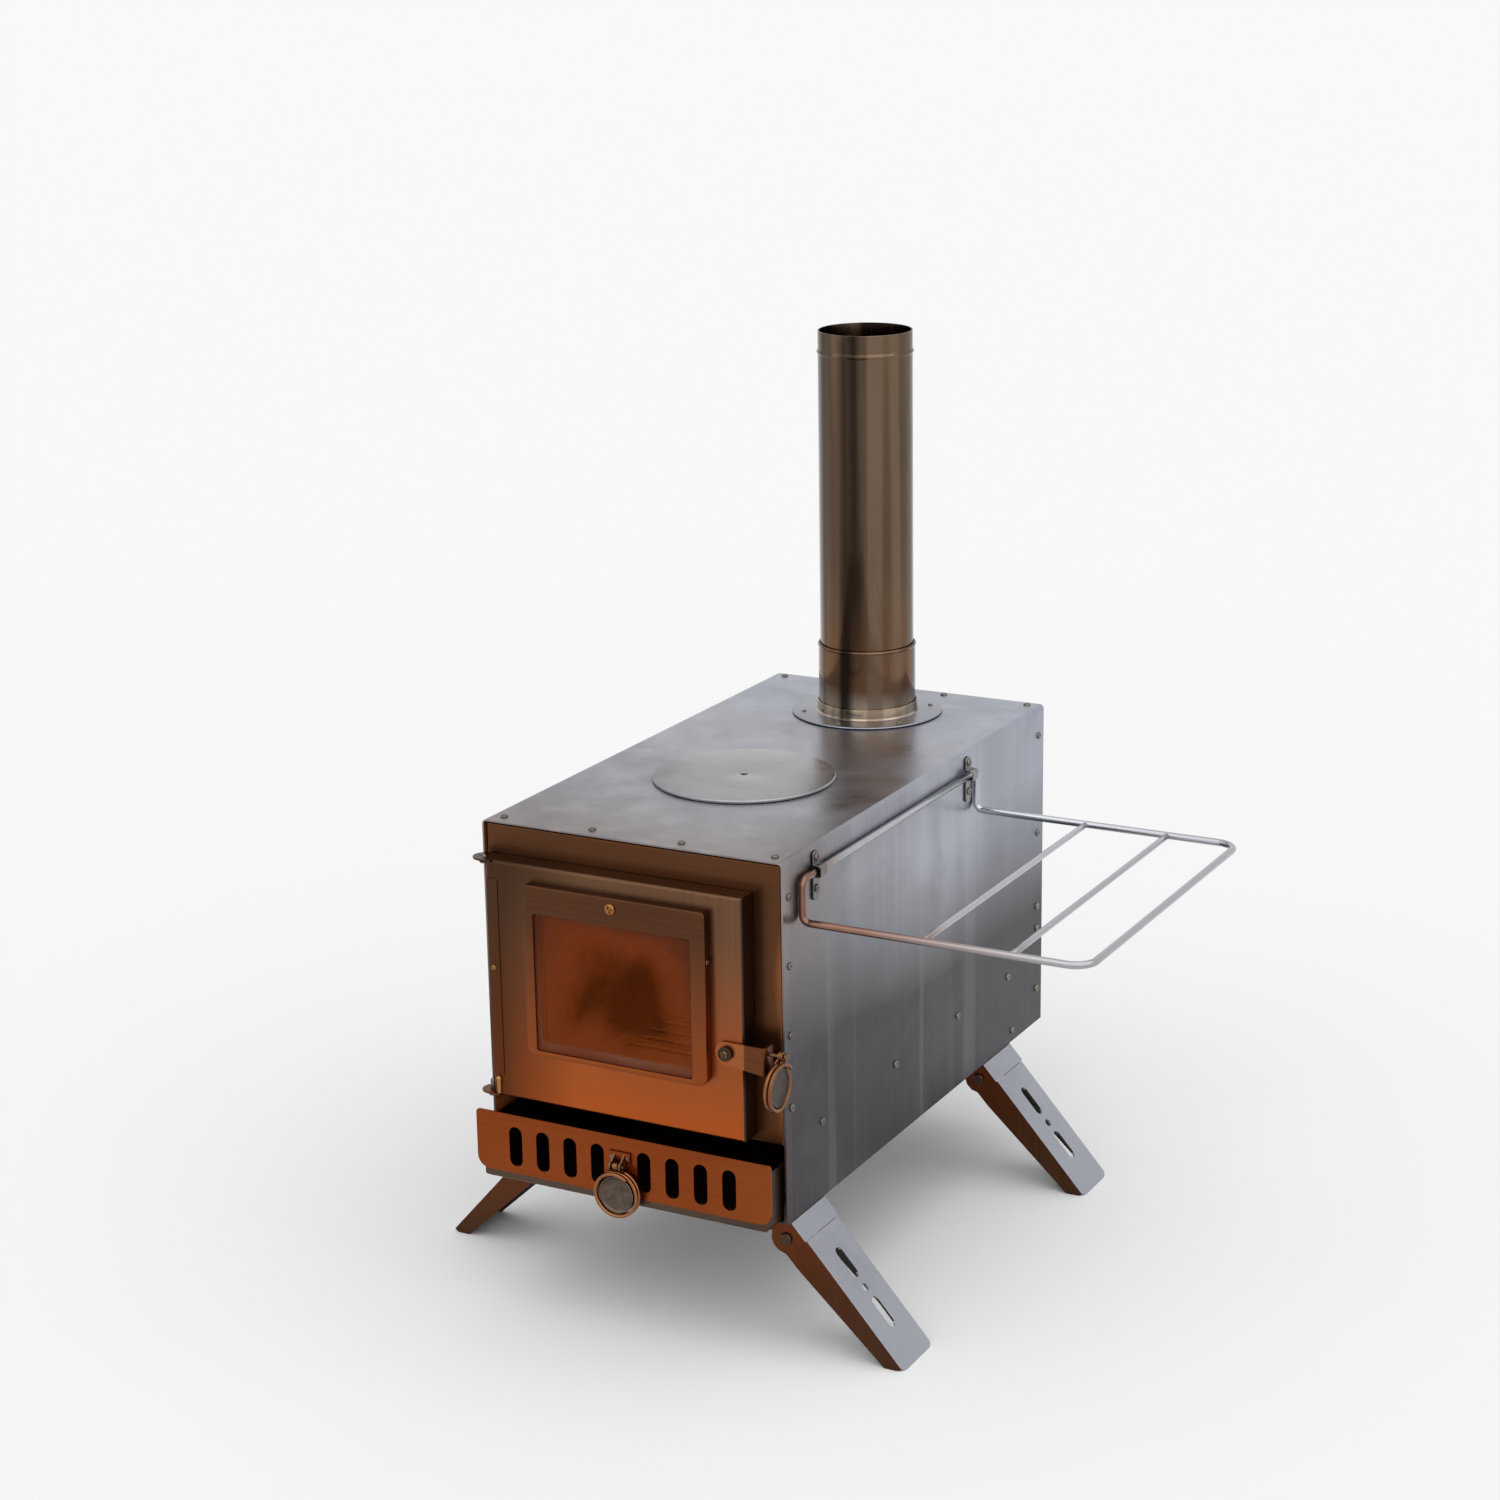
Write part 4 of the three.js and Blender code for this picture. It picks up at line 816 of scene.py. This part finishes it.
def flue_flange():
    """A pressed ring with a low collar, and the rivets that hold it."""
    bore, radius, collar_height = 33.3, 51.6, 8.6
    top = SEAT + SHEET
    collar_top = SEAT + collar_height
    profile = [(bore, SEAT), (radius - 0.6, SEAT), (radius, SEAT + 0.6), (radius - 0.6, top),
               (bore + 2.1, top), (bore + 0.9, top + 1), (bore + 0.7, collar_top), (bore, collar_top)]
    mesh = lathe(rounded_profile(profile, 0.3), at(0, FLUE_MIDDLE, 0), TURNED_SIDES)
    flange = place("flue_flange_fine", mesh, "stove", "flange", ("flue_flange",))
    other_finishes(flange, [("flue", lambda p, normal: p.z > top + GAP)])

    reach = 44
    rivets = []
    for degrees in (35, 145, 215, 270, 325):
        angle = math.radians(degrees)
        rivets.append((reach * math.cos(angle), FLUE_MIDDLE + reach * math.sin(angle), top))
    screws("flange_rivets", RIVET, rivets, "z", "stove")


def flue_sleeve():
    """The socket that takes the pipe, with a rolled rim at its top and a seat low inside."""
    inner, outer, rim, seat_radius = 32, 33, 33.6, 30.4
    top = 279
    rim_height = 2.2
    seat_top = SEAT + 9
    profile = [(inner, SEAT), (outer, SEAT), (outer, top - rim_height), (rim, top - rim_height / 2),
               (outer, top), (inner, top), (inner, seat_top), (seat_radius, seat_top),
               (seat_radius, seat_top - 0.8), (inner, seat_top - 3.2)]
    mesh = lathe(rounded_profile(profile, 0.25), at(0, FLUE_MIDDLE, 0), TURNED_SIDES)
    place("flue_sleeve_fine", mesh, "stove", "flue", ("flue_sleeve",))


def flue_pipe():
    """The first length of pipe, with a bead near its top."""
    inner, outer, bead = 30.9, 31.7, 32.6
    low, top = 239.6, 492
    bead_middle = top - 14
    bead_half = 1.8
    profile = [(inner, low), (outer, low), (outer, bead_middle - bead_half), (bead, bead_middle),
               (outer, bead_middle + bead_half), (outer, top), (inner, top)]
    mesh = lathe(rounded_profile(profile, 0.3), at(0, FLUE_MIDDLE, 0), TURNED_SIDES)
    place("flue_pipe_fine", mesh, "flue_pipe", "flue", ("flue_pipe",))


cooking_lid()
flue_flange()
flue_sleeve()
flue_pipe()


# ---- Door ----------------------------------------------------------------------------------------

DOOR_FACE = -14
HEM_FORWARD = 0.6
HINGE_X, HINGE_Y = -98, -8
FACES_SIDE = 0.7


def door_pan():
    """The folded door, with painted shade: a darker tone on the edge that faces the stove's right."""
    right_edge = [("edge", lambda p, normal: normal.x > FACES_SIDE)]
    refined("door_pan", "door", "door", bevel=0.6, segments=3, others=right_edge)


def window_frame():
    """The pressed frame round the glass, with wide bends at its lower corners."""
    low_corner, high_corner = local_box("window_frame")
    left, front, low = low_corner
    right, back, high = high_corner
    outer = (left, right, low, high)
    outer_radii = (6.5, 6.5, 3, 3)
    left_border, right_border, lower_border, upper_border = 7, 10, 3.5, 18
    opening = (left + left_border, right - right_border, low + lower_border, high - upper_border)
    opening_radii = (1.5, 1.5, 1.5, 1.5)
    bend = 0.9

    def wall(inset, y):
        return rounded_contour(*outer, outer_radii, inset), y

    def hole(inset, y):
        return rounded_contour(*opening, opening_radii, inset), y

    loops = [wall(0, back)]
    for angle in (math.pi / 2, math.pi / 3, math.pi / 6, 0):
        loops.append(wall(bend * (1 - math.sin(angle)), front + bend * (1 - math.cos(angle))))
    loops += [hole(-0.5, front), hole(-0.15, front + 0.15), hole(0, front + 0.5), hole(0, front + SHEET)]
    loops += [wall(SHEET, front + SHEET), wall(SHEET, back)]
    place("window_frame_fine", loops_mesh(loops), "door", "frame", ("window_frame",))


def door_hem():
    """The folded edge on the door's hinge side: a thin strip that stands a little in front of the door."""
    left, right, low, high = -93.4, -85.4, 69.5, 198
    radii = (1.2, 1.2, 1.2, 1.2)
    loops = []
    for inset, forward in ((0, -0.1), (0, 0.3), (0.1, 0.5), (0.35, HEM_FORWARD)):
        loops.append((rounded_contour(left, right, low, high, radii, inset), DOOR_FACE - forward))
    place("door_hem", loops_mesh(loops, closed=False), "door", "door")


def door_rod_end():
    """The end of the hinge rod above the lower ear, with a small cap."""
    x, y = -89.4, -14.4
    radius, cap, tip = 1.5, 1.9, 1.0
    low, top = 57.5, 68.6
    profile = [(0, low), (radius, low), (radius, top - 2.4), (cap, top - 2.1), (cap, top - 1.3), (tip, top),
               (0, top)]
    place("door_rod_end", lathe(profile, at(x, y, 0), sides=24), "door", "brass")


def window_pane():
    refined("window_glass", "door", "glass", bevel=0.3)
    refined("window_gasket", "door", "rope", bevel=0.2)


def hinge_pin(level):
    """A pin with a flat head below and a tapered tip."""
    node = "hinge_pin_" + level
    low_corner, high_corner = local_box(node)
    low, high = low_corner.z, high_corner.z
    radius, head, head_height, chamfer = 1.9, 3.2, 1.2, 0.3
    tip, tip_height, taper = 0.7, 0.4, 1.9
    neck = low + head_height
    profile = [(0, low), (head - chamfer, low), (head, low + chamfer), (head, neck - chamfer),
               (head - chamfer, neck), (radius, neck), (radius, high - taper), (tip, high - tip_height),
               (0, high)]
    mesh = lathe(profile, at(HINGE_X, HINGE_Y, 0), sides=32)
    place("hinge_pin_fine_" + level, mesh, "stove", "fitting", (node,))


def hinges():
    refined("hinge_bracket_upper", "stove", "bronze", bevel=0.2)
    refined("hinge_bracket_lower", "stove", "bronze", bevel=0.2)
    hinge_pin("upper")
    hinge_pin("lower")


door_pan()
window_frame()
door_hem()
door_rod_end()
window_pane()
hinges()


# ---- Latch ---------------------------------------------------------------------------------------

LEVER_BEND = 85


def latch():
    """The lever, its bolt and keeper. Past the place where the real lever has its slight bend, its tone is
    darker: painted shade for the bend.
    """
    bend = ((LEVER_BEND, 0, 0), (1, 0, 0))
    beyond_bend = [("lever_end", lambda p, normal: p.x > LEVER_BEND)]
    refined("latch_lever", "latch", "lever", bevel=0.25, split=bend, others=beyond_bend)
    refined("latch_pivot_bolt", "door", "dark", bevel=0.4)
    refined("latch_keeper", "stove", "bronze", bevel=0.2)


def door_screws():
    """The screws in the latch's bolt, at the window frame's top, on the hem and on the frame's side."""
    latch_pivot = (73, -18.45, 112)
    frame_top = (-2, -20.3, 192.6)
    hem_middle = (-90, DOOR_FACE - HEM_FORWARD, 140)
    frame_side = (62, -17.3, 168)
    screws("latch_screw", SCREW, [latch_pivot], "-y", "door", "bronze")
    screws("window_screws", BIG_SCREW, [frame_top], "-y", "door", "brass")
    screws("door_screws", SMALL_SCREW, [hem_middle], "-y", "door", "brass")
    screws("window_side_screws", SMALL_SCREW, [frame_side], "x", "door", "bronze")


latch()
door_screws()


# ---- Pulls ---------------------------------------------------------------------------------------

# A split ring of about two turns of wire with a neck, a barrel round its pin, and a disc inside it
PULL_TURNS = 2.1
PULL_PITCH = 3
PULL_DEPTH = PULL_TURNS * PULL_PITCH
RING = 14
NECK = 4.4
WIRE = 2.4
DROP = NECK + RING
NECK_STEPS = 6
TURN_STEPS = 72
COIL_TURNS = 3
COIL_STEPS = 32
COIL_RADIUS = 1.95
COIL_HALF_LENGTH = 1.65
COIL_WIRE_RADIUS = 0.62
DISC_CLEARANCE = 0.6
RING_SIDES, COIL_SIDES, DISC_SIDES, PIN_SIDES = 18, 12, 96, 32

# The latch's pull hangs from a pin in the lever's end and leans against the body's front edge
LATCH_PIN_Y, LATCH_PIN_Z = -10.6, 114
LEVER_END = 99.5
PULL_STAND = 4.6
LATCH_PULL_X = LEVER_END + PULL_STAND + PULL_DEPTH / 2
LEAN = math.radians(-16)

# The drawer's pull hangs straight down
DRAWER_PIN_Y, DRAWER_PIN_Z = -25.2, 29


def latch_point(across, up, out):
    """A point of the latch's pull from the ring's middle: across and up in its plane, and out of it."""
    down = up - DROP
    y = LATCH_PIN_Y + across * math.cos(LEAN) - down * math.sin(LEAN)
    z = LATCH_PIN_Z + across * math.sin(LEAN) + down * math.cos(LEAN)
    return at(LATCH_PULL_X + out, y, z)


def on_latch_pin(along, angle):
    y = LATCH_PIN_Y + COIL_RADIUS * math.cos(angle)
    return at(LATCH_PULL_X + along, y, LATCH_PIN_Z + COIL_RADIUS * math.sin(angle))


def drawer_point(across, up, out):
    """A point of the drawer's pull, in the same terms."""
    return at(across, DRAWER_PIN_Y - out, DRAWER_PIN_Z - DROP + up)


def on_drawer_pin(along, angle):
    y = DRAWER_PIN_Y + COIL_RADIUS * math.cos(angle)
    return at(along, y, DRAWER_PIN_Z + COIL_RADIUS * math.sin(angle))


def ring_points(to_point):
    """The neck, straight down from the pin, and then the turns of the ring."""
    points = []
    for k in range(NECK_STEPS):
        share = k / NECK_STEPS
        points.append(to_point(0, RING + NECK * (1 - share), -share * PULL_DEPTH / 2))
    total = int(TURN_STEPS * PULL_TURNS)
    for k in range(total + 1):
        turn = PULL_TURNS * k / total
        angle = 2 * math.pi * turn
        out = turn * PULL_PITCH - PULL_DEPTH / 2
        points.append(to_point(RING * math.sin(angle), RING * math.cos(angle), out))
    return points


def barrel_points(on_pin):
    """Close turns of the wire round the pin."""
    points = []
    for k in range(COIL_TURNS * COIL_STEPS + 1):
        along = -COIL_HALF_LENGTH + 2 * COIL_HALF_LENGTH * k / (COIL_TURNS * COIL_STEPS)
        points.append(on_pin(along, 2 * math.pi * k / COIL_STEPS))
    return points


def disc_profile():
    """A bare disc that is dished on one side."""
    radius = RING - WIRE / 2 - DISC_CLEARANCE
    half, chamfer, lip = 1.8, 0.4, 1.0
    dish_edge, dish, dish_radius = 1.0, 0.85, 4.0
    profile = [(0, -half), (radius - chamfer, -half), (radius, chamfer - half), (radius, half - chamfer),
               (radius - chamfer, half), (radius - lip, half), (radius - 2 * lip, dish_edge),
               (dish_radius, dish), (0, dish)]
    return rounded_profile(profile, 0.25)


def pull(name, to_point, on_pin, disc_axis):
    """A ring with its barrel, and its disc. The body that both ride has the pull's name."""
    ring = tube(ring_points(to_point), WIRE / 2, RING_SIDES)
    barrel = tube(barrel_points(on_pin), COIL_WIRE_RADIUS, COIL_SIDES)
    place(name + "_ring_fine", joined_mesh(ring, barrel), name, "ring", (name + "_ring",))
    disc = lathe(disc_profile(), to_point(0, 0, 0), DISC_SIDES, disc_axis)
    place(name + "_disc_fine", disc, name, "disc", (name + "_disc",))


def latch_pull_pin():
    """The pin in the lever's end, with a head at both ends."""
    low, high = local_box("latch_pull_pin")
    length = high.x - low.x
    radius, head, head_length = 1.2, 2.4, 1.2
    profile = [(0, 0), (head, 0), (head, head_length), (radius, head_length),
               (radius, length - head_length), (head, length - head_length), (head, length), (0, length)]
    middle = at(low.x, LATCH_PIN_Y, LATCH_PIN_Z)
    mesh = lathe(rounded_profile(profile, 0.3), middle, PIN_SIDES, "x")
    place("latch_pull_pin_fine", mesh, "latch", "bronze", ("latch_pull_pin",))


pull("latch_pull", latch_point, on_latch_pin, "x")
latch_pull_pin()
pull("drawer_pull", drawer_point, on_drawer_pin, "-y")


# ---- Drawer --------------------------------------------------------------------------------------

EYE_PLATE_FRONT = -21.5
EYE_RIVET_X, EYE_RIVET_Z = 5.6, 33


def drawer():
    """The slotted front, the tray, and the eye, whose plate has the front's tone."""
    on_plate = [("drawer", lambda p, normal: p.y > EYE_PLATE_FRONT - 0.2)]
    refined("drawer_front", "drawer", "drawer", bevel=0.4)
    refined("drawer_tray", "drawer", "tray")
    refined("drawer_pull_eye", "drawer", "bronze", bevel=0.2, others=on_plate)
    rivets = [(x, EYE_PLATE_FRONT, EYE_RIVET_Z) for x in (-EYE_RIVET_X, EYE_RIVET_X)]
    screws("drawer_screws", RIVET, rivets, "-y", "drawer", "bronze")


drawer()


# ---- Legs ----------------------------------------------------------------------------------------

LEG_ANGLE = math.radians(48.5)

# Which way a face of a leg has to look for the painted firelight of the front flange or the painted shade
# of the inside
FACES_FRONT = -0.7
FACES_UNDER = -0.5
BETWEEN_FLANGES = -3

LEG_PIN_SIDES = 40


def leg_finishes(name):
    """The finishes of a leg's inner faces, a dark tone that is painted shade, and of its front flange,
    which is painted firelight.
    """
    low, high = local_box("leg_" + name)
    middle_y = (low.y + high.y) / 2
    side = 1 if "right" in name else -1

    def front_flange(p, normal):
        return normal.y < FACES_FRONT and p.y < middle_y

    def inner(p, normal):
        outward = normal.x * side * math.sin(LEG_ANGLE) + normal.z * math.cos(LEG_ANGLE)
        return outward < FACES_UNDER or normal.y * (p.y - middle_y) < BETWEEN_FLANGES

    return [("leg_front", front_flange), ("soot_and_shade", inner)]


def leg_pin(name):
    """A pin through bracket and leg, with a rounded head at both ends."""
    node = "leg_pin_" + name
    low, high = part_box(node)
    half = (high.y - low.y) / 2 / MM
    radius, head, head_face, chamfer, head_length = 2.5, 4.0, 3.4, 0.5, 1.4
    profile = [(0, -half), (head_face, -half), (head, chamfer - half), (head, head_length - half),
               (radius, head_length - half), (radius, half - head_length), (head, half - head_length),
               (head, half - chamfer), (head_face, half), (0, half)]
    mesh = lathe(profile, (low + high) / 2, LEG_PIN_SIDES, "-y")
    place("leg_pin_fine_" + name, mesh, "stove", "edge", (node,))


for corner_name in ("front_right", "rear_right", "front_left", "rear_left"):
    finishes = leg_finishes(corner_name)
    refined("leg_bracket_" + corner_name, "stove", "leg", bevel=0.3, others=finishes)
    refined("leg_" + corner_name, "leg_" + corner_name, "leg", bevel=0.3, others=finishes)
    leg_pin(corner_name)


# ---- Rack ----------------------------------------------------------------------------------------

ROD_X, ROD_Z = 106.6, 214.5
RACK_CRANK = 26.5
RACK_REACH = 181.5
RACK_FRONT, RACK_REAR = 20, 271
RACK_Z = ROD_Z - RACK_CRANK
RACK_WIRE_RADIUS = 2.3
BAR_RADIUS = 2
BAR_END = 2.35
CRANK_BEND, FRAME_BEND = 5, 13
RACK_SIDES = 24
BARS = {"inner": 78, "outer": 134}
SADDLES = {"front": 41, "rear": 261.5}
SADDLE_FACE = HALF_WIDTH + GAP + SHEET
SADDLE_END_RADIUS = 3.2
SADDLE_SCREW_RISES = (8, -11.5)


def rack_frame():
    """One wire, bent six times, whose ends meet under the rear saddle."""
    outer_x = ROD_X + RACK_REACH
    joint_y = SADDLES["rear"]
    corners = [(ROD_X, joint_y - GAP / 2, ROD_Z), (ROD_X, RACK_FRONT, ROD_Z), (ROD_X, RACK_FRONT, RACK_Z),
               (outer_x, RACK_FRONT, RACK_Z), (outer_x, RACK_REAR, RACK_Z), (ROD_X, RACK_REAR, RACK_Z),
               (ROD_X, RACK_REAR, ROD_Z), (ROD_X, joint_y + GAP / 2, ROD_Z)]
    bends = [CRANK_BEND, CRANK_BEND, FRAME_BEND, FRAME_BEND, CRANK_BEND, CRANK_BEND]
    mesh = tube(bent(corners, bends), RACK_WIRE_RADIUS, RACK_SIDES)
    place("rack_frame_fine", mesh, "rack", "rack", ("rack_frame",))


def rack_bar(name, along):
    """A cross bar that is welded in between the frame's front and rear run."""
    steps = 12
    length = RACK_REAR - RACK_FRONT - 2 * BAR_END
    front = RACK_FRONT + BAR_END
    points = [at(ROD_X + along, front + length * k / steps, RACK_Z) for k in range(steps + 1)]
    mesh = tube(points, BAR_RADIUS, RACK_SIDES)
    place("rack_bar_fine_" + name, mesh, "rack", "rack", ("rack_bar_" + name,))


def rack_saddle(name, y):
    """A humped saddle over the wire, with round ends and a screw in each."""
    low, high = local_box("rack_saddle_" + name)

    def at_end(middle, direction):
        across = abs(direction.x) > 0.99
        return across and min(abs(middle.z - low.z), abs(middle.z - high.z)) < 0.1

    corners = (SADDLE_END_RADIUS, at_end)
    refined("rack_saddle_" + name, "stove", "saddle", bevel=0.25, corners=corners)
    places = [(SADDLE_FACE, y, ROD_Z + rise) for rise in SADDLE_SCREW_RISES]
    screws("rack_saddle_screws_" + name, SCREW, places, "x", "stove")


rack_frame()
for bar_name, bar_along in BARS.items():
    rack_bar(bar_name, bar_along)
for saddle_name, saddle_y in SADDLES.items():
    rack_saddle(saddle_name, saddle_y)


# ---- Floor and light -----------------------------------------------------------------------------

FLOOR_TONE = 0.93
FLOOR_HALF_METRES = 40
LIGHT_ON_SURFACES = 0.61
LIGHT_SEEN = 0.95


def add_floor():
    """A wide, pale and dull floor."""
    size = FLOOR_HALF_METRES
    corners = [(-size, -size, 0), (size, -size, 0), (size, size, 0), (-size, size, 0)]
    mesh = bpy.data.meshes.new("floor")
    mesh.from_pydata(corners, [], [(0, 1, 2, 3)])
    floor = bpy.data.objects.new("floor", mesh)
    bpy.context.scene.collection.objects.link(floor)
    n = Nodes("floor")
    n.shader.inputs["Base Color"].default_value = (FLOOR_TONE, FLOOR_TONE, FLOOR_TONE, 1)
    n.shader.inputs["Roughness"].default_value = 0.9
    n.shader.inputs["Specular IOR Level"].default_value = 0.1
    mesh.materials.append(n.material)


def add_world():
    """White surroundings, brighter where the camera, a reflection or a clear piece shows them."""
    world = bpy.data.worlds.new("world")
    bpy.context.scene.world = world
    world.use_nodes = True
    tree = world.node_tree
    background = tree.nodes["Background"]
    background.inputs["Color"].default_value = (1, 1, 1, 1)
    rays = tree.nodes.new("ShaderNodeLightPath")
    seen = tree.nodes.new("ShaderNodeMath")
    seen.operation = "ADD"
    tree.links.new(rays.outputs["Is Camera Ray"], seen.inputs[0])
    tree.links.new(rays.outputs["Is Glossy Ray"], seen.inputs[1])
    shown = tree.nodes.new("ShaderNodeMath")
    shown.operation = "ADD"
    shown.use_clamp = True
    tree.links.new(seen.outputs["Value"], shown.inputs[0])
    tree.links.new(rays.outputs["Is Transmission Ray"], shown.inputs[1])
    level = tree.nodes.new("ShaderNodeMapRange")
    level.inputs["To Min"].default_value = LIGHT_ON_SURFACES
    level.inputs["To Max"].default_value = LIGHT_SEEN
    tree.links.new(shown.outputs["Value"], level.inputs["Value"])
    tree.links.new(level.outputs["Result"], background.inputs["Strength"])


def add_sun(name, direction, strength, degrees):
    """A broad, soft light from a direction."""
    light = bpy.data.lights.new(name, "SUN")
    light.energy = strength
    light.angle = math.radians(degrees)
    lamp = bpy.data.objects.new(name, light)
    lamp.rotation_euler = Vector(direction).to_track_quat("-Z", "Y").to_euler()
    bpy.context.scene.collection.objects.link(lamp)


add_floor()
add_world()
add_sun("key", (-0.45, 0.4, -1), strength=1.35, degrees=100)
add_sun("fill", (0.6, 0.9, -0.5), strength=0.25, degrees=50)
bpy.context.scene.view_settings.view_transform = "Standard"

bpy.context.view_layer.update()
